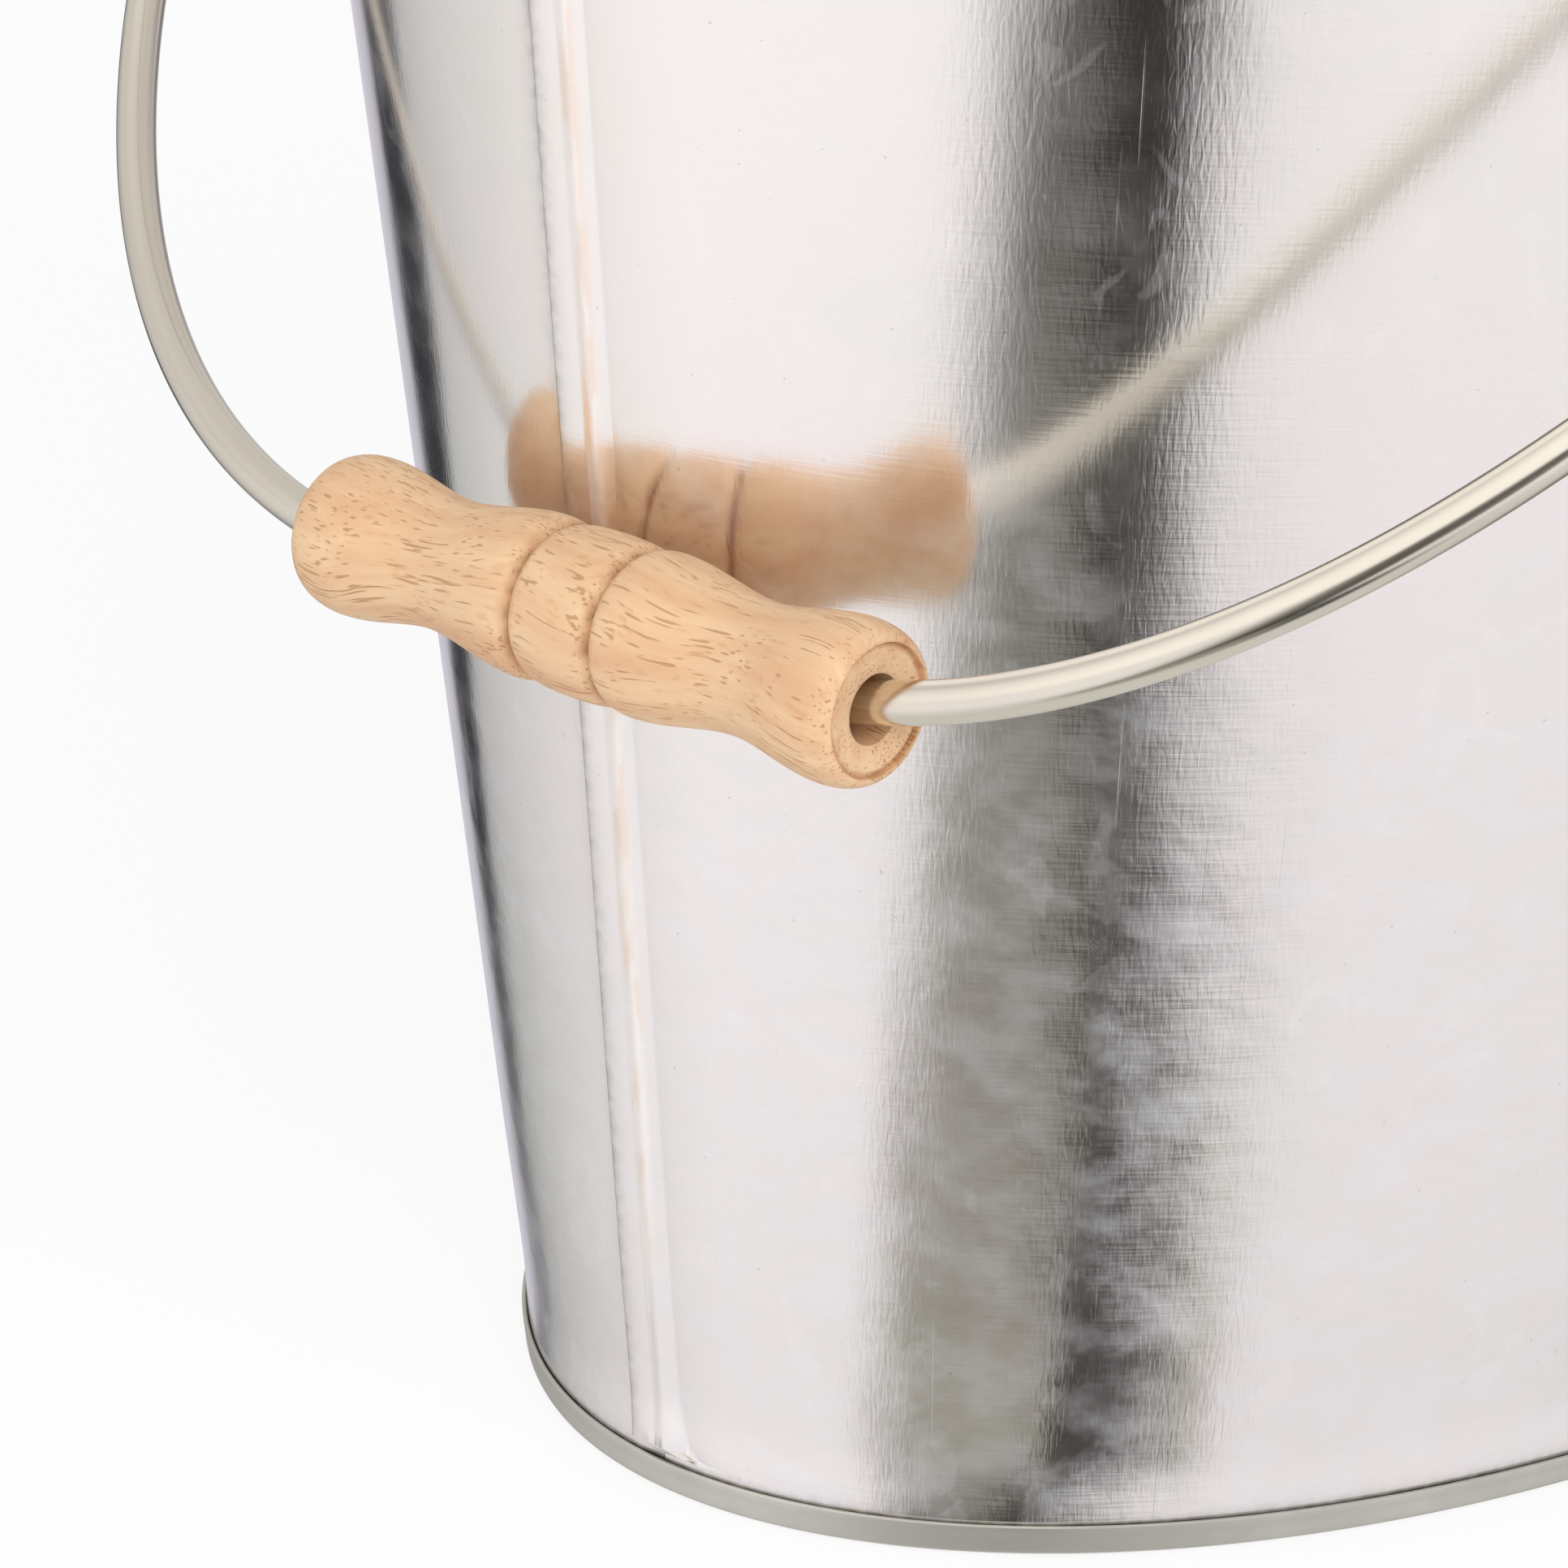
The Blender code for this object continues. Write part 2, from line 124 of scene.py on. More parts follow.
def grid_faces(rows, columns, start=0, close_rows=False, close_columns=False):
    """Quads of a grid whose points are stored row by row, as an array of corner numbers."""
    row = np.arange(rows if close_rows else rows - 1)[:, None]
    column = np.arange(columns if close_columns else columns - 1)[None, :]
    next_row, next_column = (row + 1) % rows, (column + 1) % columns
    corners = (
        row * columns + column,
        row * columns + next_column,
        next_row * columns + next_column,
        next_row * columns + column,
    )
    return start + np.stack([np.broadcast_to(c, (row.size, column.size)) for c in corners], -1).reshape(-1, 4)


def add_piece(name, points, quads, uv=None, caps=(), sharp=40.0, marks=None):
    """Object from point, quad and cap arrays; uv and each mark hold one value or pair for each point."""
    mesh = bpy.data.meshes.new(name)
    mesh.from_pydata(points.reshape(-1, 3).tolist(), [], quads.tolist() + [list(cap) for cap in caps])
    mesh.shade_smooth()
    mesh.set_sharp_from_angle(angle=math.radians(sharp))
    if uv is not None:
        layer = mesh.uv_layers.new(name="place")
        corner_points = np.empty(len(mesh.loops), np.int32)
        mesh.loops.foreach_get("vertex_index", corner_points)
        layer.data.foreach_set("uv", uv.reshape(-1, 2)[corner_points].astype(np.float32).ravel())
    for mark, values in (marks or {}).items():
        layer = mesh.attributes.new(mark, "FLOAT", "POINT")
        layer.data.foreach_set("value", values.astype(np.float32).ravel())
    piece = bpy.data.objects.new(name, mesh)
    bpy.context.scene.collection.objects.link(piece)
    return piece


def face_outwards(piece):
    """Turns every face of a closed piece outwards by the sign of its volume."""
    mesh = piece.data
    mesh.calc_loop_triangles()
    corners = np.empty(len(mesh.loop_triangles) * 3, np.int32)
    mesh.loop_triangles.foreach_get("vertices", corners)
    places = np.empty(len(mesh.vertices) * 3)
    mesh.vertices.foreach_get("co", places)
    one, two, three = np.moveaxis(places.reshape(-1, 3)[corners].reshape(-1, 3, 3), 1, 0)
    if np.einsum("ij,ij->i", one, np.cross(two, three)).sum() < 0.0:
        mesh.flip_normals()


def ring_piece(name, loops, closed=False, uv=None, sharp=40.0, marks=None):
    """Solid through rows of loops, closed on itself or capped at both ends."""
    rows, columns = loops.shape[:2]
    quads = grid_faces(rows, columns, close_rows=closed, close_columns=True)
    caps = () if closed else (range(columns - 1, -1, -1), range((rows - 1) * columns, rows * columns))
    piece = add_piece(name, loops, quads, uv, caps, sharp, marks)
    face_outwards(piece)
    return piece


# Wall sheets
foot_flare = 0.00022
foot_dip = 0.00024
foot_dip_height = 0.010
foot_dip_power = 1.5
foot_fade = 0.025
lap_reach = 0.0054
lap_slope = 0.0120
ridge_left = 0.0014
ridge_top = -0.0004
ridge_right = -0.0034
ridge_height = 0.00015
valley_depth = 0.00019
valley_reach = 0.0024
settled_height = 0.00055
settle_start = 0.0088
settle_climb = 0.006
foot_settle = 0.6
foot_spread = 0.0035
tuck_depth = 0.00045
tuck_start = 0.0056
tuck_run = 0.0046
lap_notch = 0.0010
edge_steps = 5
side_start = math.radians(9.0)
side_end = math.radians(176.5)
side_columns = 296
tail_columns = 40
lap_columns = 90
lead_columns = 6
roll_rows = 44
# Painted crevice shade: how far it reaches from the lap's edges, the band and the lap's foot notch, and how
# strong it is
crevice_reach = 0.0011
foot_crevice_reach = 0.0009
notch_crevice_reach = 0.00045
notch_blend = 0.0004
notch_share = 0.6
own_edge_shade = 0.5
other_edge_shade = 0.9
foot_shade = 0.6
wear_start = -0.0013
wear_end = 0.0026
wear_lowest = 0.013
wear_growth = 0.050
wear_rise = 0.004
wear_near_edge = 0.0005
wear_far_edge = 0.0014
wear_least = 0.25


def foot_lean(level):
    """Offset of the wall's foot: out at the band, in a little above it, then back to the straight taper.

    Up from the band it falls as flare - (flare + dip)(1 - (1 - t)^1.5), and the dip then eases away.
    """
    up = np.clip(level - band_height, 0.0, None)
    share = np.clip(up / foot_dip_height, 0.0, 1.0)
    falling = foot_flare - (foot_flare + foot_dip) * (1.0 - (1.0 - share) ** foot_dip_power)
    fading = -foot_dip * (1.0 - smooth_step((up - foot_dip_height) / foot_fade))
    return np.where(share < 1.0, falling, fading)


def wall_rows():
    """Rows up the sheet: level, outer offset and lift, inner offset and lift, then reach, rise and settling.

    The sheet leans out a little at the bottom band, climbs straight, then rolls outwards round the rim
    wire: angle = pi - turn, radius = roll radius -/+ half the sheet.
    """
    lap_bottom = band_height + lap_foot
    lap_top = roll_centre_height - roll_radius - lap_top_gap
    lean_end = band_height + foot_dip_height + foot_fade
    level = np.concatenate([
        np.linspace(sheet + clearance, band_height, 4)[:-1],
        np.linspace(band_height, lap_bottom - lap_notch, 5)[:-1],
        np.linspace(lap_bottom - lap_notch, lap_bottom, 5),
        np.linspace(lap_bottom, lean_end, 17)[1:],
        np.linspace(lean_end, lap_top - lap_top_fade, 24)[1:],
        np.linspace(lap_top - lap_top_fade, lap_top, 9)[1:],
        np.linspace(lap_top, roll_centre_height, 4)[1:-1],
    ])
    lean = foot_lean(level)
    rise = smooth_step((level - lap_bottom + lap_notch) / (lap_notch / 2))
    rise *= smooth_step((lap_top - level) / (lap_top_fade / 2))
    reach = smooth_step((level - lap_bottom + lap_notch / 2) / (lap_notch / 2))
    reach *= smooth_step((lap_top - lap_top_fade / 2 - level) / (lap_top_fade / 2))
    settle = foot_settle + (1.0 - foot_settle) * smooth_step((level - settle_start) / settle_climb)
    settle *= smooth_step((lap_top - lap_top_fade - level) / settle_climb)
    straight = np.stack([level, lean, 0 * level, lean - sheet, 0 * level, reach, rise, settle], -1)
    angle = math.pi - np.linspace(0.0, roll_turn, roll_rows)
    outer, inner = roll_radius - sheet / 2, roll_radius + sheet / 2
    still = 0.0 * angle
    roll = np.stack([
        roll_centre_height + still,
        roll_centre_offset + outer * np.cos(angle),
        outer * np.sin(angle),
        roll_centre_offset + inner * np.cos(angle),
        inner * np.sin(angle),
        still,
        still,
        still,
    ], -1)
    return np.concatenate([straight, roll])


def lap_height(place, settle):
    """Height of the lap at a distance before the apex, over the plain wall.

    A strip slopes from the edge down to where the lap settles on the tucked sheet below it; then come the
    ridge, a fall, and a slow climb out of a shallow valley: depth e^(-distance / reach). Where the lap
    isn't settled, at its two ends, the fall is longer.
    """
    foot = lap_rise - (lap_rise - settled_height) * settle
    strip = lap_rise + (foot - lap_rise) * np.clip((lap_reach - place) / (lap_reach - ridge_left), 0.0, 1.0)
    climb = smooth_step((ridge_left - place) / (ridge_left - ridge_top))
    fall_length = ridge_top - ridge_right + foot_spread * (1.0 - settle)
    fall = smooth_step((ridge_top - place) / fall_length)
    past = np.clip(ridge_top - fall_length - place, 0.0, None)
    ending = smooth_step((place + lap_slope) / (lap_slope / 2))
    valley = valley_depth * np.exp(-past / valley_reach) * ending
    return (strip + ridge_height * climb) * (1.0 - fall) - valley * fall


def sheet_grids():
    """Outer and inner points of one sheet, rows up and columns round, with their places on the flat sheet."""
    rows = wall_rows()
    columns = (column[:, None] for column in rows.T)
    level, outer_offset, outer_lift, inner_offset, inner_lift, reach, rise, settle = columns
    half_width = half_axes(level)[1]
    place = np.linspace(lap_reach, -lap_slope, lap_columns)[None, :]
    butt = np.linspace(-clearance / 2, -lap_slope, lap_columns)[None, :]
    lap_angle = math.pi - (place * reach + butt * (1.0 - reach)) / half_width
    lap_lift = rise * lap_height(place, settle)
    share = np.linspace(0.0, 1.0, lead_columns + 2)[None, 1:-1]
    lead = lap_angle[:, -1:] * (1.0 - share) + (math.pi + side_start) * share
    round_angle = math.pi + np.linspace(side_start, side_end, side_columns)
    round_angle = np.broadcast_to(round_angle, (len(rows), side_columns))
    end_angle = 2.0 * math.pi + (lap_under * reach - clearance / 2 * (1.0 - reach)) / half_width
    share = np.linspace(0.0, 1.0, tail_columns + 1)[None, 1:]
    tail = (math.pi + side_end) * (1.0 - share) + end_angle * share
    angle = np.concatenate([lap_angle, lead, round_angle, tail], 1)
    before_apex = (2.0 * math.pi - tail) * half_width
    tuck = -tuck_depth * settle * smooth_step((tuck_start - before_apex) / tuck_run)
    flat = np.zeros((len(rows), lead.shape[1] + side_columns))
    raised = np.concatenate([lap_lift, flat, tuck], 1)
    outer = oval_points(angle, outer_offset + raised, level, outer_lift)
    inner = oval_points(angle, inner_offset + raised, level, inner_lift)
    middle = len(rows) // 3
    steps = np.linalg.norm(np.diff(outer[middle], axis=0), axis=1)
    around = np.concatenate([[0.0], np.cumsum(steps)])
    climbs = np.linalg.norm(np.diff(outer[:, outer.shape[1] // 2], axis=0), axis=1)
    up = np.concatenate([[0.0], np.cumsum(climbs)])
    uv = np.stack(np.broadcast_arrays(around[None, :] - lap_reach, up[:, None]), -1)
    return outer, inner, uv, sheet_marks(uv, level, reach)


def sheet_marks(uv, level, reach):
    """Painted crevice shade = e^(-distance / reach) from the lap's edges, the band and the lap's foot notch;
    wear = 1 across the lap's ridge.
    """
    around = uv[..., 0]
    own_edge = np.exp(-(around + lap_reach) / crevice_reach)
    from_end = around[:, -1:] - around - lap_reach - lap_under
    other_edge = np.exp(-np.clip(from_end, 0.0, None) / crevice_reach)
    foot = np.exp(-np.clip(level - band_height, 0.0, None) / foot_crevice_reach)
    strip = np.maximum(smooth_step((lap_under - around) / lap_under), smooth_step(-from_end / notch_blend))
    from_notch = np.abs(level - band_height - lap_foot + notch_share * lap_notch)
    notch = np.exp(-from_notch / notch_crevice_reach) * strip
    # Painted shade, darkest at the lap's edges, at the foot by the band and at the notch
    edges = np.maximum(own_edge_shade * own_edge, other_edge_shade * other_edge) * reach
    crevice_shade = np.maximum(edges, np.maximum(foot_shade * foot, notch))
    grown = wear_least + (1.0 - wear_least) * smooth_step((level - wear_lowest) / wear_growth)
    wide = wear_start + (wear_end - wear_start) * grown
    wear = smooth_step((around - wear_start) / wear_near_edge) * smooth_step((wide - around) / wear_far_edge)
    wear = wear * smooth_step((level - wear_lowest) / wear_rise)
    return {"crevice_shade": crevice_shade, "wear": wear}


def edge_round(outer_edge, inner_edge, away):
    """Half round between two edges of a sheet: middle + half the sheet x (cos t along it, sin t away)."""
    away = away / np.linalg.norm(away, axis=-1, keepdims=True)
    turn = np.linspace(0.0, math.pi, edge_steps + 2)[1:-1][:, None, None]
    middle = (outer_edge + inner_edge) / 2
    half = (outer_edge - inner_edge) / 2
    reach = np.linalg.norm(half, axis=-1, keepdims=True) * away
    return middle + half * np.cos(turn) + reach * np.sin(turn)


def add_sheet(name, node, spin):
    """One wall sheet as a closed shell: outer face, half-round edges and inner face in one wrapped grid."""
    outer, inner, uv, outer_marks = sheet_grids()
    lap_edge = edge_round(outer[:, 0], inner[:, 0], outer[:, 0] - outer[:, 1])
    plain_edge = edge_round(outer[:, -1], inner[:, -1], outer[:, -1] - outer[:, -2])
    lap_edge, plain_edge = np.moveaxis(lap_edge[::-1], 0, 1), np.moveaxis(plain_edge, 0, 1)
    loops = np.concatenate([outer, plain_edge, inner[:, ::-1], lap_edge], 1)
    count = outer.shape[1]
    edge_uv = np.repeat(uv[:, -1:], edge_steps, 1)
    lap_uv = np.repeat(uv[:, :1], edge_steps, 1)
    loop_uv = np.concatenate([uv, edge_uv, uv[:, ::-1], lap_uv], 1)
    # The painted crevice shade and the wear follow the outer face round the edges; the inner face gets none
    marks = {}
    for mark, values in outer_marks.items():
        first_edge, last_edge = (np.repeat(side, edge_steps, 1) for side in (values[:, :1], values[:, -1:]))
        marks[mark] = np.concatenate([values, last_edge, 0.0 * values, first_edge], 1)
    rows, columns = loops.shape[:2]
    quads = grid_faces(rows, columns, close_columns=True)
    front = np.arange(count)
    back = count + edge_steps + count - 1 - front
    ends = []
    for row in (0, rows - 1):
        base = row * columns
        ends.append(np.stack([base + front[:-1], base + front[1:], base + back[1:], base + back[:-1]], -1))
        left = [base] + [base + columns - 1 - step for step in range(edge_steps)] + [base + back[0]]
        right = [base + count - 1 + step for step in range(edge_steps + 2)]
        ends.append([left, right])
    quads = np.concatenate([quads, ends[0][:, ::-1], ends[2]])
    caps = [ends[1][0], ends[1][1][::-1], ends[3][0][::-1], ends[3][1]]
    turned = loops * np.array([spin, spin, 1.0])
    piece = add_piece(name, turned, quads, loop_uv, caps, marks=marks)
    face_outwards(piece)
    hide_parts(node)
    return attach(piece, "bucket")


# Bottom pan
pan_steps = 480
corner_round = 0.0006
leg_round = 0.0004
edge_break = 0.0003
lip_gap = 0.00002
crease_drop = 0.0019
crease_above = 0.0005
crease_below = 0.0006
crease_depth = 0.00004
band_foot = 0.0010
floor_rings = (0.9, 0.7, 0.45, 0.2, 0.04)


def arc(centre_offset, centre_height, radius, start, end, steps):
    """Points of a round corner in a profile: centre + radius (cos t, sin t), angles in degrees."""
    angle = np.radians(np.linspace(start, end, steps))
    return np.stack([centre_offset + radius * np.cos(angle), centre_height + radius * np.sin(angle)], -1)


def add_pan():
    """Pressed bottom: floor, inner leg, foot, and the band that stands outside the wall."""
    leg_outer = -sheet - clearance
    leg_inner = leg_outer - sheet
    band_inner, band_outer = clearance, clearance + sheet
    lip = sheet / 2 - lip_gap
    crease = band_height - crease_drop
    profile = np.concatenate([
        arc(leg_outer - corner_round, floor_height - corner_round, corner_round, 90.0, 0.0, 6),
        [[leg_outer, sheet + edge_break]],
        [[leg_outer, sheet]],
        [[band_inner, sheet]],
        [[band_inner, sheet + edge_break]],
        arc(band_outer - lip, band_height - lip, lip, 180.0, 0.0, 13),
        [[band_outer + lip_gap, crease + crease_above]],
        [[band_outer - crease_depth, crease]],
        [[band_outer, crease - crease_below]],
        [[band_outer, band_foot]],
        arc(band_outer - corner_round, corner_round, corner_round, 0.0, -90.0, 8),
        arc(leg_inner + leg_round, leg_round, leg_round, -90.0, -180.0, 5),
        [[leg_inner, floor_height - sheet - edge_break]],
        [[leg_inner - edge_break, floor_height - sheet]],
    ])
    angle = np.arange(pan_steps) / pan_steps * 2.0 * math.pi
    loops = oval_points(angle[None, :], profile[:, :1], profile[:, 1:])
    shrink = np.array([[share, share, 1.0] for share in floor_rings])[:, None, :]
    loops = np.concatenate([(loops[:1] * shrink)[::-1], loops, loops[-1:] * shrink])
    piece = ring_piece("bottom_pan", loops, sharp=50.0)
    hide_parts("base_pan")
    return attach(piece, "bucket")


def side_distance(x, level):
    """Distance of the wall's outer face from the long axis."""
    half_length, half_width = half_axes(level)
    return half_width * np.sqrt(1.0 - (x / half_length) ** 2)


ear_plate_distance = float(side_distance(0.0, pivot_height)) + clearance + ear_standoff


def resting_angle():
    """Angle of the bail from straight down, where the grip stops just clear of the lap."""
    lean = math.atan((top_length - base_length) / 2 / wall_height)
    end_distance = float(half_axes(pivot_height)[0]) * math.cos(lean)
    stand_off = barrel_diameter / 2 + lap_rise * lap_crown_share + grip_gap
    return math.asin((end_distance + stand_off) / (bail_reach - grip_drop)) - lean


hang = resting_angle()
plane_down = np.array([-math.sin(hang), 0.0, -math.cos(hang)])
plane_normal = np.array([math.cos(hang), 0.0, -math.sin(hang)])
pivot = np.array([0.0, 0.0, pivot_height])
across_axis = np.array([0.0, 1.0, 0.0])
head_round = 0.0008
head_face_share = 0.2
neck_round = 0.0003
wire_sides = 40
bend_steps = 14
sweep_steps = 150


def add_bail():
    """Wire swept along its own plane: head, pin, round bend, and a quarter of an ellipse to the flat."""
    head_face = ear_plate_distance - clearance
    pin_tip = head_face - bail_head_height
    head = bail_head_diameter / 2

    def half_path(side):
        cap = np.radians(np.linspace(4.0, 90.0, 8))
        tip = np.stack([
            pin_tip + head_round * (1.0 - np.sin(cap)),
            0.0 * cap,
            head - (head_round + head * head_face_share) * (1.0 - np.sin(cap)),
        ], -1)
        neck = np.array([
            [head_face - neck_round, 0.0, head],
            [head_face - neck_round / 3, 0.0, head - neck_round],
            [head_face, 0.0, wire_radius + neck_round],
            [head_face + neck_round * 2 / 3, 0.0, wire_radius],
        ])
        turn = np.linspace(0.0, math.pi / 2, bend_steps)
        bend = np.stack([
            bail_half_width - bail_bend + bail_bend * np.sin(turn),
            bail_bend - bail_bend * np.cos(turn),
            wire_radius + 0.0 * turn,
        ], -1)
        turn = np.linspace(0.0, math.pi / 2, sweep_steps)
        flat_end = bail_flat / 2 + side * bail_offset
        sweep = np.stack([
            flat_end + (bail_half_width - flat_end) * np.cos(turn),
            bail_leg + (bail_reach - bail_leg) * np.sin(turn),
            wire_radius + 0.0 * turn,
        ], -1)
        return np.concatenate([tip, neck, bend, sweep]) * np.array([side, 1.0, 1.0])

    path = np.concatenate([half_path(-1.0), half_path(1.0)[::-1]])
    centres = pivot + path[:, :1] * across_axis + path[:, 1:2] * plane_down
    forward = np.gradient(centres, axis=0)
    forward /= np.linalg.norm(forward, axis=1, keepdims=True)
    third = np.cross(forward, plane_normal)
    turn = np.arange(wire_sides) / wire_sides * 2.0 * math.pi
    spokes = np.cos(turn)[None, :, None] * plane_normal + np.sin(turn)[None, :, None] * third[:, None, :]
    loops = centres[:, None, :] + spokes * path[:, None, 2:3]
    along = np.concatenate([[0.0], np.cumsum(np.linalg.norm(np.diff(centres, axis=0), axis=1))])
    uv = np.stack(np.broadcast_arrays(along[:, None], turn[None, :] * wire_radius), -1)
    piece = ring_piece("wire_bail", loops, uv=uv)
    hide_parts("bail_wire")
    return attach(piece, "bail")


# Turned grip
groove_depth = 0.00110
groove_width = 0.00085
groove_run = 0.0030
barrel_fall = 0.00045
face_recess = 0.0008
groove_stain = 0.00100
face_stain = 0.8
grip_sides = 128


def eased_run(start, end, place):
    """Radius at a place between two points, easing in and out."""
    return start[1] + (end[1] - start[1]) * smooth_step((place - start[0]) / (end[0] - start[0]))


def grip_half_outline():
    """Half outline from the middle to the bore.

    Barrel, shoulder, waist and knob run into each other; the V groove takes depth e^(-distance / width)
    from them. A quarter of an ellipse turns the knob into the recessed end face.
    """
    groove = groove_spacing / 2
    shoulder = (shoulder_spacing / 2, shoulder_diameter / 2)
    waist = (waist_spacing / 2, waist_diameter / 2)
    knob = (knob_spacing / 2, knob_diameter / 2)
    near_groove = groove + np.array([[-1.0], [1.0]]) * (np.linspace(0.0, 1.0, 13) ** 2 * groove_run)
    place = np.unique(np.concatenate([
        np.linspace(0.0, groove - groove_run, 6),
        near_groove.ravel(),
        np.linspace(groove + groove_run, waist[0], 26),
        np.linspace(waist[0], knob[0], 26),
    ]).round(7))
    barrel = barrel_diameter / 2 - barrel_fall * (place / groove) ** 2
    radius = np.where(place < groove, barrel, shoulder[1])
    radius = np.where(place > shoulder[0], eased_run(shoulder, waist, place), radius)
    radius = np.where(place > waist[0], eased_run(waist, knob, place), radius)
    step = np.exp(-np.abs(place - groove) / groove_width)
    radius = radius - groove_depth * step + np.where(place < groove, 0.0, -barrel_fall * step)
    end_depth = (grip_length - knob_spacing) / 2
    edge_height = (knob_diameter - face_diameter) / 2
    turn = np.linspace(0.0, math.pi / 2, 16)[1:-1]
    fall = edge_height * (1.0 - np.cos(turn))
    end_round = np.stack([knob[0] + end_depth * np.sin(turn), knob[1] - fall], -1)
    end = grip_length / 2
    face = np.array([
        [end, face_diameter / 2],
        [end - face_recess * 0.12, face_diameter / 2 - face_ring * 0.16],
        [end - face_recess, face_diameter / 2 - face_ring * 0.28],
        [end - face_recess, face_diameter / 2 - face_ring * 0.55],
        [end - face_recess * 0.55, face_diameter / 2 - face_ring * 1.5],
        [end - face_recess * 0.60, face_diameter / 2 - face_ring * 1.9],
        [end - face_recess * 0.75, (face_diameter + grip_bore) / 4],
        [end - face_recess * 0.85, grip_bore / 2 + face_ring * 0.6],
        [end - face_recess - face_ring * 0.1, grip_bore / 2 + face_ring * 0.1],
        [end - face_recess - face_ring, grip_bore / 2],
    ])
    return np.concatenate([np.stack([place, radius], -1), end_round, face])


def add_grip():
    """Turned grip: the outline spun about the grip's axis, which lies along Y; stain = e^-(d / width)^2."""
    half = grip_half_outline()
    outline = np.concatenate([half[::-1] * np.array([-1.0, 1.0]), half[1:]])
    turn = np.arange(grip_sides) / grip_sides * 2.0 * math.pi
    middle = pivot + plane_down * (bail_reach - grip_drop) + across_axis * grip_offset
    spokes = np.stack([np.cos(turn), 0.0 * turn, np.sin(turn)], -1)
    loops = middle + outline[:, None, :1] * across_axis + spokes[None] * outline[:, None, 1:]
    from_groove = np.abs(np.abs(outline[:, 0]) - groove_spacing / 2)
    in_face = (np.abs(outline[:, 0]) > grip_length / 2 - face_recess * 1.01) & (outline[:, 1] > grip_bore / 2)
    ring = face_ring * 0.4
    rim = in_face * np.exp(-((outline[:, 1] - face_diameter / 2 + ring) / ring) ** 2)
    stain = np.maximum(np.exp(-(from_groove / groove_stain) ** 2), face_stain * rim)
    marks = {"stain": np.repeat(stain[:, None], grip_sides, 1)}
    piece = ring_piece("turned_grip", loops, closed=True, sharp=34.0, marks=marks)
    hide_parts("grip")
    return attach(piece, "grip"), middle


def hex_colour(code):
    """Linear colour of an sRGB hex code."""
    values = [int(code[place:place + 2], 16) / 255.0 for place in (1, 3, 5)]
    return tuple(v / 12.92 if v <= 0.04045 else ((v + 0.055) / 1.055) ** 2.4 for v in values) + (1.0,)


def add_node(tree, kind, inputs=None, out=0, **settings):
    """Adds a node with its settings; an input is a value or an output to link. Returns one output."""
    made = tree.nodes.new(kind)
    for name, value in settings.items():
        setattr(made, name, value)
    for socket, value in (inputs or {}).items():
        if isinstance(value, bpy.types.NodeSocket):
            tree.links.new(value, made.inputs[socket])
        else:
            made.inputs[socket].default_value = value
    return made.outputs[out]


MATH, RANGE, MIX, BUMP = "ShaderNodeMath", "ShaderNodeMapRange", "ShaderNodeMix", "ShaderNodeBump"
NOISE, MAPPING, MARK = "ShaderNodeTexNoise", "ShaderNodeMapping", "ShaderNodeAttribute"
SMOOTH = {"interpolation_type": "SMOOTHSTEP"}
COLOUR = {"data_type": "RGBA"}
TINT = {"data_type": "RGBA", "blend_type": "MULTIPLY"}


def new_material(name):
    """A material with its node tree, its shader and the function that adds a node to the tree."""
    material = bpy.data.materials.new(name)
    material.use_nodes = True
    tree = material.node_tree
    return material, tree, tree.nodes["Principled BSDF"], partial(add_node, tree)


def ease(low, high, new_low=0.0, new_high=1.0):
    """Range inputs from one span to another."""
    return {"From Min": low, "From Max": high, "To Min": new_low, "To Max": new_high}


def cells(*sizes):
    """Scale of a pattern whose cells measure these millimetres; a direction that isn't named keeps 1."""
    scales = [1000.0 / size for size in sizes]
    return tuple(scales + [1.0] * (3 - len(scales)))


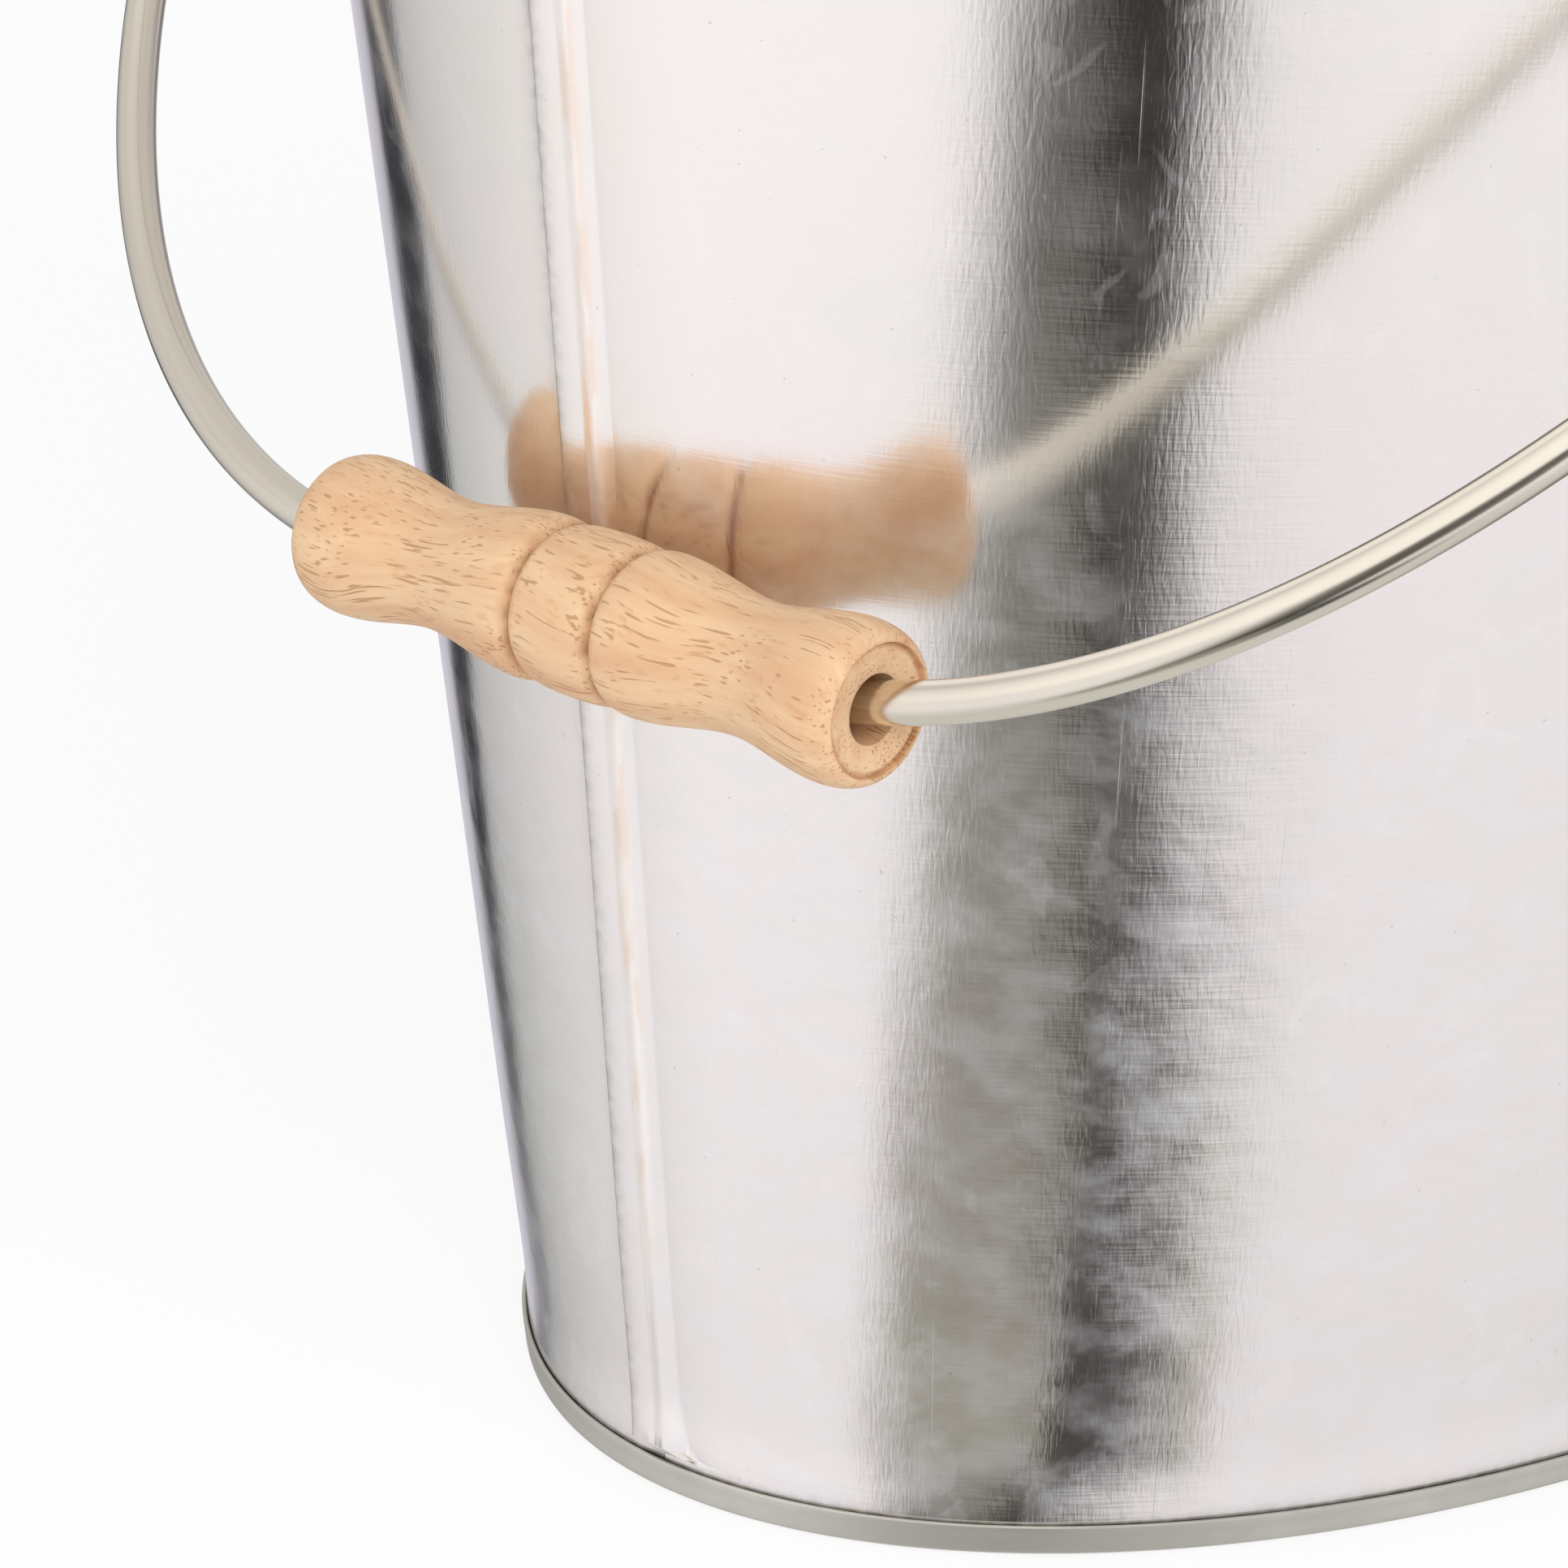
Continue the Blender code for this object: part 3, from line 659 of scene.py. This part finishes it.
def wall_finish():
    """Hot-dip galvanised, temper-rolled mild steel sheet.

    The eye sees a soft mirror, blurred more up and down than sideways, broken by upright wrinkles about
    0.6 mm apart and lines across them; smoky clouds of duller, bluer zinc, thickest near the foot, and
    small paler patches; a worn whitish ridge along the lap with beige stretches; painted shade in the
    crevices, specks and hairline scratches. The real cross lines are finer: drawn 0.6 mm apart, they last in
    a render.
    """
    material, tree, shader, add = new_material("galvanised_sheet_steel")
    place = add("ShaderNodeUVMap", uv_map="place")
    level = add("ShaderNodeSeparateXYZ", {0: place}, "Y")
    lower = add(RANGE, {"Value": level, **ease(0.20, 0.09)}, **SMOOTH)

    # Clouds of duller zinc
    clouds = add(MAPPING, {"Vector": place, "Location": (4.3, 2.1, 0.0), "Scale": cells(12, 9)})
    clouds = add(
        NOISE, {"Vector": clouds, "Scale": 1.0, "Detail": 5.0, "Roughness": 0.62, "Distortion": 0.2})
    clouds = add(RANGE, {"Value": clouds, **ease(0.36, 0.72)}, **SMOOTH)
    where = add(MAPPING, {"Vector": place, "Scale": cells(40, 50)})
    where = add(NOISE, {"Vector": where, "Scale": 1.0, "Detail": 2.0})
    where = add(MATH, {0: lower, 1: 0.30, 2: where}, operation="MULTIPLY_ADD")
    where = add(RANGE, {"Value": where, **ease(0.46, 0.84, 0.10, 1.0)}, **SMOOTH)
    dull = add(MATH, {0: clouds, 1: where}, operation="MULTIPLY")
    patches = add(MAPPING, {"Vector": place, "Location": (3.0, 5.0, 0.0), "Scale": cells(11, 17)})
    patches = add(NOISE, {"Vector": patches, "Scale": 1.0, "Detail": 3.0, "Distortion": 1.2})
    patches = add(RANGE, {"Value": patches, **ease(0.60, 0.64)}, **SMOOTH)
    mottle = add(NOISE, {"Vector": place, "Scale": cells(45)[0], "Detail": 3.0})
    mottle = add(RANGE, {"Value": mottle, **ease(0.35, 0.65)}, **SMOOTH)
    colour = add(MIX, {0: mottle, 6: hex_colour("#FBF7F7"), 7: hex_colour("#F8F7F4")}, 2, **COLOUR)
    share = add(MATH, {0: dull, 1: 0.5}, operation="MULTIPLY")
    colour = add(MIX, {0: share, 6: colour, 7: hex_colour("#F0F2F8")}, 2, **COLOUR)
    specks = add(NOISE, {"Vector": place, "Scale": cells(1.1)[0], "Detail": 1.0})
    specks = add(RANGE, {"Value": specks, **ease(0.765, 0.80, 0.0, 0.35)})
    colour = add(MIX, {0: specks, 6: colour, 7: hex_colour("#A6A4A0")}, 2, **COLOUR)

    # Worn ridge of the lap, brushed across, with beige stretches
    strokes = add(MAPPING, {"Vector": place, "Scale": cells(4, 1.6)})
    strokes = add(NOISE, {"Vector": strokes, "Scale": 1.0, "Detail": 2.0})
    strokes = add(RANGE, {"Value": strokes, **ease(0.3, 0.7, 0.8, 1.0)}, **SMOOTH)
    worn = add(MARK, out="Fac", attribute_name="wear")
    worn = add(MATH, {0: worn, 1: strokes}, operation="MULTIPLY")
    colour = add(MIX, {0: worn, 6: colour, 7: hex_colour("#FFFBF8")}, 2, **COLOUR)
    stretches = add(MAPPING, {"Vector": place, "Scale": cells(3, 14)})
    stretches = add(NOISE, {"Vector": stretches, "Scale": 1.0, "Detail": 3.0})
    higher = add(RANGE, {"Value": level, **ease(0.05, 0.22, 0.02, 0.07)})
    stretches = add(MATH, {0: stretches, 1: higher}, operation="ADD")
    stretches = add(RANGE, {"Value": stretches, **ease(0.48, 0.66)}, **SMOOTH)
    beige = add(MATH, {0: worn, 1: stretches}, operation="MULTIPLY")
    colour = add(MIX, {0: beige, 6: colour, 7: hex_colour("#FAEBE0")}, 2, **COLOUR)

    # Painted shade in the crevices: darkening along the lap's edges, at the foot by the band and at the lap's
    # foot notch, broken up by noise
    ragged = add(NOISE, {"Vector": place, "Scale": cells(2.2)[0], "Detail": 2.0})
    ragged = add(RANGE, {"Value": ragged, **ease(0.3, 0.7, 0.6, 1.0)}, **SMOOTH)
    painted_shade = add(MARK, out="Fac", attribute_name="crevice_shade")
    painted_shade = add(MATH, {0: painted_shade, 1: ragged}, operation="MULTIPLY")
    # Mixes in the dark colour of the painted shade
    colour = add(MIX, {0: painted_shade, 6: colour, 7: hex_colour("#63645F")}, 2, **COLOUR)
    tree.links.new(colour, shader.inputs["Base Color"])

    rough = add(MATH, {0: dull, 1: 0.06, 2: 0.143}, operation="MULTIPLY_ADD")
    rough = add(MATH, {0: worn, 1: 0.10, 2: rough}, operation="MULTIPLY_ADD")
    tree.links.new(rough, shader.inputs["Roughness"])
    metal = add(MATH, {0: dull, 1: -0.14, 2: 1.0}, operation="MULTIPLY_ADD")
    metal = add(MATH, {0: patches, 1: -0.06, 2: metal}, operation="MULTIPLY_ADD")
    metal = add(MATH, {0: worn, 1: -0.22, 2: metal}, operation="MULTIPLY_ADD")
    tree.links.new(metal, shader.inputs["Metallic"])
    shader.inputs["Anisotropic"].default_value = 0.60
    shader.inputs["Anisotropic Rotation"].default_value = 0.25
    along = add("ShaderNodeTangent", direction_type="UV_MAP", uv_map="place")
    tree.links.new(along, shader.inputs["Tangent"])

    # Wrinkles, cross lines, scratches and the slight swell of the sheet
    wrinkles = add(MAPPING, {"Vector": place, "Scale": cells(0.62, 3.4)})
    wrinkles = add(NOISE, {"Vector": wrinkles, "Scale": 1.0, "Detail": 1.0, "Distortion": 0.5})
    normal = add(BUMP, {"Height": wrinkles, "Distance": 0.0000145})
    cross = add(MAPPING, {"Vector": place, "Scale": cells(12, 0.6)})
    cross = add(NOISE, {"Vector": cross, "Scale": 1.0, "Detail": 1.0, "Distortion": 0.1})
    normal = add(BUMP, {"Height": cross, "Distance": 0.000008, "Normal": normal})
    slant = (0.0, 0.0, 0.5)
    scratches = add(MAPPING, {"Vector": place, "Rotation": slant, "Scale": cells(0.6, 45)})
    scratches = add(NOISE, {"Vector": scratches, "Scale": 1.0, "Detail": 0.0})
    scratches = add(RANGE, {"Value": scratches, **ease(0.82, 0.88)})
    normal = add(BUMP, {"Height": scratches, "Distance": -0.000006, "Normal": normal})
    swell = add(MAPPING, {"Vector": place, "Scale": cells(18, 45)})
    swell = add(NOISE, {"Vector": swell, "Scale": 1.0, "Detail": 1.0})
    normal = add(BUMP, {"Height": swell, "Distance": 0.00016, "Normal": normal})
    ripple = add(MAPPING, {"Vector": place, "Scale": cells(12, 9)})
    ripple = add(NOISE, {"Vector": ripple, "Scale": 1.0, "Detail": 2.0})
    ripple = add(MATH, {0: ripple, 1: lower}, operation="MULTIPLY")
    normal = add(BUMP, {"Height": ripple, "Distance": 0.00008, "Normal": normal})
    tree.links.new(normal, shader.inputs["Normal"])
    return material


def pan_finish():
    """Galvanised pressing, duller and greyer than the wall from being drawn and folded."""
    material, tree, shader, add = new_material("galvanised_pressing")
    place = add("ShaderNodeTexCoord", out="Object")
    clouds = add(NOISE, {"Vector": place, "Scale": cells(10)[0], "Detail": 3.0, "Roughness": 0.6})
    colour = add(MIX, {0: clouds, 6: hex_colour("#DBDAD4"), 7: hex_colour("#CCCBC5")}, 2, **COLOUR)
    tree.links.new(colour, shader.inputs["Base Color"])
    rough = add(RANGE, {"Value": clouds, **ease(0.3, 0.7, 0.42, 0.55)})
    tree.links.new(rough, shader.inputs["Roughness"])
    shader.inputs["Metallic"].default_value = 1.0
    lines = add(MAPPING, {"Vector": place, "Scale": cells(20, 20, 0.6)})
    lines = add(NOISE, {"Vector": lines, "Scale": 1.0, "Detail": 2.0})
    normal = add(BUMP, {"Height": lines, "Distance": 0.00002})
    tree.links.new(normal, shader.inputs["Normal"])
    return material


def wire_finish():
    """Zinc-plated drawn steel wire: satin and creamy, with faint lines along it from the die."""
    material, tree, shader, add = new_material("zinc_plated_drawn_wire")
    place = add("ShaderNodeUVMap", uv_map="place")
    clouds = add(MAPPING, {"Vector": place, "Scale": cells(30, 6)})
    clouds = add(NOISE, {"Vector": clouds, "Scale": 1.0, "Detail": 3.0})
    colour = add(MIX, {0: clouds, 6: hex_colour("#ECE7DC"), 7: hex_colour("#E2DDD2")}, 2, **COLOUR)
    tree.links.new(colour, shader.inputs["Base Color"])
    rough = add(RANGE, {"Value": clouds, **ease(0.3, 0.7, 0.15, 0.22)})
    tree.links.new(rough, shader.inputs["Roughness"])
    shader.inputs["Metallic"].default_value = 1.0
    lines = add(MAPPING, {"Vector": place, "Scale": cells(20, 0.5)})
    lines = add(NOISE, {"Vector": lines, "Scale": 1.0, "Detail": 2.0})
    normal = add(BUMP, {"Height": lines, "Distance": 0.000008})
    tree.links.new(normal, shader.inputs["Normal"])
    return material


def wood_finish(middle):
    """Turned rubberwood with a thin clear seal.

    The eye sees a pale warm ground, brown pores 2 to 4 mm long that run along the grain and show as dots
    on the ends, and scorched rings where the tool cut the grooves.
    """
    material, tree, shader, add = new_material("turned_rubberwood")
    place = add("ShaderNodeTexCoord", out="Object")
    centred = add("ShaderNodeVectorMath", {0: place, 1: tuple(-middle)}, operation="ADD")
    sway = add(NOISE, {"Vector": centred, "Scale": cells(30)[0], "Detail": 1.0}, "Color")
    sway = add("ShaderNodeVectorMath", {0: sway, 1: (0.012, 0.0, 0.012)}, operation="MULTIPLY")
    grown = add("ShaderNodeVectorMath", {0: centred, 1: sway}, operation="ADD")
    bands = add(MAPPING, {"Vector": grown, "Scale": cells(4, 50, 4)})
    bands = add(NOISE, {"Vector": bands, "Scale": 1.0, "Detail": 3.0, "Roughness": 0.55})
    bands = add(RANGE, {"Value": bands, **ease(0.3, 0.7)}, **SMOOTH)
    colour = add(MIX, {0: bands, 6: hex_colour("#F0CBA0"), 7: hex_colour("#E4B48A")}, 2, **COLOUR)
    pores = add(MAPPING, {"Vector": grown, "Scale": cells(0.4, 8, 0.4)})
    pores = add(NOISE, {"Vector": pores, "Scale": 1.0, "Detail": 0.5})
    where = add(MAPPING, {"Vector": grown, "Scale": cells(6, 18, 6)})
    where = add(NOISE, {"Vector": where, "Scale": 1.0, "Detail": 2.0})
    pores = add(MATH, {0: where, 1: 0.35, 2: pores}, operation="MULTIPLY_ADD")
    pores = add(RANGE, {"Value": pores, **ease(0.81, 0.92)}, **SMOOTH)
    share = add(MATH, {0: pores, 1: 0.64}, operation="MULTIPLY")
    colour = add(MIX, {0: share, 6: colour, 7: hex_colour("#B67B47")}, 2, **COLOUR)
    flecks = add(MAPPING, {"Vector": grown, "Scale": cells(0.9, 4, 0.9)})
    flecks = add(NOISE, {"Vector": flecks, "Scale": 1.0, "Detail": 1.0})
    flecks = add(RANGE, {"Value": flecks, **ease(0.60, 0.74, 0.0, 0.30)}, **SMOOTH)
    colour = add(MIX, {0: flecks, 6: colour, 7: hex_colour("#D2965C")}, 2, **COLOUR)
    patchy = add(NOISE, {"Vector": centred, "Scale": cells(3)[0], "Detail": 2.0})
    patchy = add(RANGE, {"Value": patchy, **ease(0.3, 0.7, 0.35, 1.0)}, **SMOOTH)
    stain = add(MARK, out="Fac", attribute_name="stain")
    stain = add(MATH, {0: stain, 1: patchy}, operation="MULTIPLY")
    stain = add(MATH, {0: stain, 1: 0.78}, operation="MULTIPLY")
    colour = add(MIX, {0: stain, 6: colour, 7: hex_colour("#A3703F")}, 2, **COLOUR)
    tree.links.new(colour, shader.inputs["Base Color"])
    shader.inputs["Roughness"].default_value = 0.5
    shader.inputs["IOR"].default_value = 1.5
    normal = add(BUMP, {"Height": pores, "Distance": -0.00008})
    tree.links.new(normal, shader.inputs["Normal"])
    return material


def fitting_finish(name, light, dark, low, high):
    """Small zinc-plated steel fitting: mottled and satin, with soft highlights."""
    material, tree, shader, add = new_material(name)
    place = add("ShaderNodeTexCoord", out="Object")
    clouds = add(NOISE, {"Vector": place, "Scale": cells(4)[0], "Detail": 3.0, "Roughness": 0.6})
    colour = add(MIX, {0: clouds, 6: hex_colour(light), 7: hex_colour(dark)}, 2, **COLOUR)
    tree.links.new(colour, shader.inputs["Base Color"])
    rough = add(RANGE, {"Value": clouds, **ease(0.3, 0.7, low, high)})
    tree.links.new(rough, shader.inputs["Roughness"])
    shader.inputs["Metallic"].default_value = 1.0
    normal = add(BUMP, {"Height": clouds, "Distance": 0.00004})
    tree.links.new(normal, shader.inputs["Normal"])
    return material


def dress(piece, material):
    """Gives a piece one material in place of what it had."""
    piece.data.materials.clear()
    piece.data.materials.append(material)


# Direction in which the tent above is brightest
bright_side = (-0.8365, -0.2241, 0.5)


def mirrored_studio(tree):
    """What metal mirrors: a white tent by compass angle and depression, with soft dark openings in it.

    Each opening is a product of two eased edges in the compass angle; the main one widens and turns as
    the direction dips. Directions steeper than about 50 degrees meet the plain floor.
    """
    add = partial(add_node, tree)
    direction = add("ShaderNodeTexCoord", out="Generated")
    east, north, rise = (add("ShaderNodeSeparateXYZ", {0: direction}, axis) for axis in "XYZ")
    compass = add(MATH, {0: north, 1: east}, operation="ARCTAN2")
    compass = add(MATH, {0: compass}, operation="DEGREES")
    dip = add(MATH, {0: rise, 1: -1.0}, operation="MULTIPLY")
    turn = add(RANGE, {"Value": compass, **ease(-180.0, 180.0)})
    ramp = tree.nodes.new("ShaderNodeValToRGB")
    tree.links.new(turn, ramp.inputs[0])
    tones = (
        (-180, "#FFFBFB"), (-60, "#FBF6F6"), (-30, "#C5C2BF"), (-8, "#85827D"),
        (18, "#8A8784"), (34, "#CBC8CE"), (50, "#D6D1DD"), (74, "#A9A9A8"),
        (98, "#D3D1CE"), (132, "#F3EEEC"), (155, "#FFFAFA"), (180, "#FFFBFB"),
    )
    elements = ramp.color_ramp.elements
    for angle, code in tones[1:-1]:
        elements.new((angle + 180.0) / 360.0).color = hex_colour(code)
    elements[0].color = hex_colour(tones[0][1])
    elements[len(tones) - 1].color = hex_colour(tones[-1][1])
    fall = add(RANGE, {"Value": dip, **ease(0.42, 0.68, 1.0, 0.80)})
    tent = add(MIX, {0: 1.0, 6: ramp.outputs[0], 7: fall}, 2, **TINT)

    # Narrow opening beside the far end, seen along the left outline
    edge = add(RANGE, {"Value": dip, **ease(0.262, 0.295, 71.0, 80.0)})
    back = add(RANGE, {"Value": dip, **ease(0.385, 0.42, 0.0, -5.5)})
    edge = add(MATH, {0: edge, 1: back}, operation="ADD")
    past = add(MATH, {0: compass, 1: edge}, operation="SUBTRACT")
    far_side = add(RANGE, {"Value": past, **ease(3.5, -1.5)}, **SMOOTH)
    near_side = add(RANGE, {"Value": compass, **ease(62.5, 66.0)}, **SMOOTH)
    faded = add(RANGE, {"Value": dip, **ease(0.42, 0.49, 0.97, 0.45)})
    narrow = add(MATH, {0: far_side, 1: near_side}, operation="MULTIPLY")
    narrow = add(MATH, {0: narrow, 1: faded}, operation="MULTIPLY")
    tent = add(MIX, {0: narrow, 6: tent, 7: hex_colour("#202228")}, 2, **COLOUR)

    # Main opening at the front
    low = add(RANGE, {"Value": dip, **ease(0.5, 0.673)})
    aside = add(MATH, {0: compass, 1: 135.0}, operation="ADD")
    left_edge = add(MATH, {0: low, 1: -12.0, 2: -17.0}, operation="MULTIPLY_ADD")
    right_edge = add(MATH, {0: low, 1: 2.2}, operation="POWER")
    right_edge = add(MATH, {0: right_edge, 1: 28.5, 2: 5.0}, operation="MULTIPLY_ADD")
    wider = add(RANGE, {"Value": dip, **ease(0.44, 0.30, 0.0, 14.0)})
    right_edge = add(MATH, {0: right_edge, 1: wider}, operation="ADD")
    past = add(MATH, {0: aside, 1: left_edge}, operation="SUBTRACT")
    past = add(RANGE, {"Value": past, **ease(-9.5, 7.0)}, **SMOOTH)
    before = add(MATH, {0: right_edge, 1: aside}, operation="SUBTRACT")
    before = add(RANGE, {"Value": before, **ease(-4.5, 4.5)}, **SMOOTH)
    opening = add(MATH, {0: past, 1: before}, operation="MULTIPLY")
    depth = add(MATH, {0: low, 1: 0.6}, operation="POWER")
    depth = add(MATH, {0: depth, 1: 0.29, 2: 0.045}, operation="MULTIPLY_ADD")
    core = add(MATH, {0: low, 1: 1.5}, operation="POWER")
    core = add(MATH, {0: core, 1: 17.0, 2: -1.0}, operation="MULTIPLY_ADD")
    core = add(MATH, {0: aside, 1: core}, operation="SUBTRACT")
    core = add(MATH, {0: core}, operation="ABSOLUTE")
    broad = add(RANGE, {"Value": low, **ease(0.75, 0.95, 0.0, 2.0)})
    core = add(MATH, {0: core, 1: broad}, operation="SUBTRACT")
    core = add(RANGE, {"Value": core, **ease(9.0, 5.0)}, **SMOOTH)
    depth = add(MIX, {0: core, 2: depth, 3: 0.005}, 0, data_type="FLOAT")
    near_level = add(RANGE, {"Value": dip, **ease(0.46, 0.38, 0.0, 0.11)})
    depth = add(MATH, {0: depth, 1: near_level}, operation="ADD")
    inside = add(MIX, {0: low, 6: hex_colour("#FFFAF2"), 7: hex_colour("#FFF9E8")}, 2, **COLOUR)
    inside = add(MIX, {0: 1.0, 6: inside, 7: depth}, 2, **TINT)
    seen = add(MIX, {0: opening, 6: tent, 7: inside}, 2, **COLOUR)

    # White floor below, and above a tent that is brightest on the camera's left
    steep = add(RANGE, {"Value": dip, **ease(0.72, 0.88)}, **SMOOTH)
    seen = add(MIX, {0: steep, 6: seen, 7: hex_colour("#DCDAD6")}, 2, **COLOUR)
    above = add(RANGE, {"Value": rise, **ease(0.10, 0.32)}, **SMOOTH)
    turned = {0: direction, 1: bright_side}
    turned = add("ShaderNodeVectorMath", turned, "Value", operation="DOT_PRODUCT")
    light = add(RANGE, {"Value": turned, **ease(0.35, 0.95, 0.70, 1.20)})
    tent = add(MIX, {0: 1.0, 6: hex_colour("#FFFBF6"), 7: light}, 2, **TINT)
    return add(MIX, {0: above, 6: seen, 7: tent}, 2, **COLOUR)


floor_size = 30.0
floor_depth = 0.0002
floor_glow = 1.06
floor_glow_share = 0.73
plain_light = (0.70, 0.71, 0.73, 1.0)


def build_studio():
    """White world and floor: metal mirrors the tent, matt surfaces get an even light."""
    world = bpy.data.worlds.new("white_studio")
    bpy.context.scene.world = world
    world.use_nodes = True
    tree = world.node_tree
    tree.nodes.clear()
    add = partial(add_node, tree)
    glossy = add("ShaderNodeLightPath", out="Is Glossy Ray")
    seen = add(MIX, {0: glossy, 6: plain_light, 7: mirrored_studio(tree)}, 2, **COLOUR)
    camera_ray = add("ShaderNodeLightPath", out="Is Camera Ray")
    through = add("ShaderNodeLightPath", out="Is Transmission Ray")
    straight = add(MATH, {0: camera_ray, 1: through}, operation="MAXIMUM")
    seen = add(MIX, {0: straight, 6: seen, 7: (1.0, 1.0, 1.0, 1.0)}, 2, **COLOUR)
    shade = add("ShaderNodeBackground", {"Color": seen, "Strength": 1.0})
    output = tree.nodes.new("ShaderNodeOutputWorld")
    tree.links.new(shade, output.inputs["Surface"])

    corners = np.array([[-1.0, -1.0, 0.0], [1.0, -1.0, 0.0], [1.0, 1.0, 0.0], [-1.0, 1.0, 0.0]]) * floor_size
    corners[:, 2] = -floor_depth
    floor = add_piece("studio_floor", corners, np.array([[0, 1, 2, 3]]))
    floor.visible_glossy = False
    material, tree, shader, add = new_material("white_floor")
    shader.inputs["Base Color"].default_value = hex_colour("#F6F6F6")
    shader.inputs["Roughness"].default_value = 1.0
    shader.inputs["Specular IOR Level"].default_value = 0.0
    glow = add("ShaderNodeEmission", {"Color": (1.0, 1.0, 1.0, 1.0), "Strength": floor_glow})
    camera_ray = add("ShaderNodeLightPath", out="Is Camera Ray")
    share = add(MATH, {0: camera_ray, 1: floor_glow_share}, operation="MULTIPLY")
    mixed = add("ShaderNodeMixShader", {0: share, 1: shader.outputs[0], 2: glow})
    tree.links.new(mixed, tree.nodes["Material Output"].inputs["Surface"])
    dress(floor, material)


def add_lamp(name, place, target, width, height, power):
    """Soft rectangular lamp that faces a target and doesn't show in the metal, which mirrors the tent."""
    lamp = bpy.data.lights.new(name, "AREA")
    lamp.shape = "RECTANGLE"
    lamp.size, lamp.size_y, lamp.energy = width, height, power
    holder = bpy.data.objects.new(name, lamp)
    holder.visible_glossy = False
    bpy.context.scene.collection.objects.link(holder)
    point_at(holder, place, target)


def point_at(thing, place, target):
    """Stands a lamp at a place with its -Z towards a target."""
    thing.location = place
    thing.rotation_euler = (Vector(target) - Vector(place)).to_track_quat("-Z", "Y").to_euler()


photo_width = 1932.0
focal_pixels = 7594.05
camera_angles = (-48.2379, 20.8942, -1.9416)
camera_place = (-0.767146, -0.550626, 0.421049)


def add_camera():
    """The photograph's camera, solved from the outline, bottom edge, seam, bail and grip."""
    azimuth, pitch, roll = (math.radians(angle) for angle in camera_angles)
    level_forward = np.array([-math.sin(azimuth), math.cos(azimuth), 0.0])
    forward = level_forward * math.cos(pitch) + np.array([0.0, 0.0, -math.sin(pitch)])
    level_right = np.array([math.cos(azimuth), math.sin(azimuth), 0.0])
    level_down = np.cross(forward, level_right)
    right = math.cos(roll) * level_right + math.sin(roll) * level_down
    down = -math.sin(roll) * level_right + math.cos(roll) * level_down
    lens = bpy.data.cameras.new("photo_camera")
    lens.sensor_width = 36.0
    lens.lens = focal_pixels / photo_width * lens.sensor_width
    lens.clip_start, lens.clip_end = 0.05, 50.0
    camera = bpy.data.objects.new("photo_camera", lens)
    bpy.context.scene.collection.objects.link(camera)
    rows = [[right[i], -down[i], -forward[i], camera_place[i]] for i in range(3)] + [[0.0, 0.0, 0.0, 1.0]]
    camera.matrix_world = Matrix(rows)
    bpy.context.scene.camera = camera


# Camera, studio and lamps
add_camera()
build_studio()
add_lamp("key_lamp", (-1.4, -0.9, 1.0), (-0.15, 0.0, 0.15), 1.2, 1.2, 11.0)
add_lamp("fill_lamp", (-0.4, -1.8, 1.3), (-0.1, 0.0, 0.15), 1.4, 1.0, 5.0)

# Pieces and their finishes
steel = wall_finish()
near_sheet = add_sheet("wall_sheet_near", "wall_near", 1.0)
far_sheet = add_sheet("wall_sheet_far", "wall_far", -1.0)
pan = add_pan()
bail = add_bail()
grip, grip_middle = add_grip()
wire = wire_finish()
fitting = fitting_finish("galvanised_ear_pressing", "#DAD9D5", "#C2C2BF", 0.28, 0.42)
rivet_steel = fitting_finish("zinc_rivet", "#C9C9C7", "#ADADAB", 0.34, 0.5)
for sheet_piece in (near_sheet, far_sheet):
    dress(sheet_piece, steel)
dress(pan, pan_finish())
dress(bail, wire)
dress(grip, wood_finish(grip_middle))
rim_steel = fitting_finish("zinc_rim_wire", "#CFCDBF", "#B9B8AC", 0.3, 0.4)
dress(nodes["rim_wire"], rim_steel)
for side in ("near", "far"):
    dress(nodes["ear_" + side], fitting)
    for end in ("left", "right"):
        dress(nodes[f"rivet_{side}_{end}"], rivet_steel)

bpy.context.scene.view_settings.view_transform = "Standard"
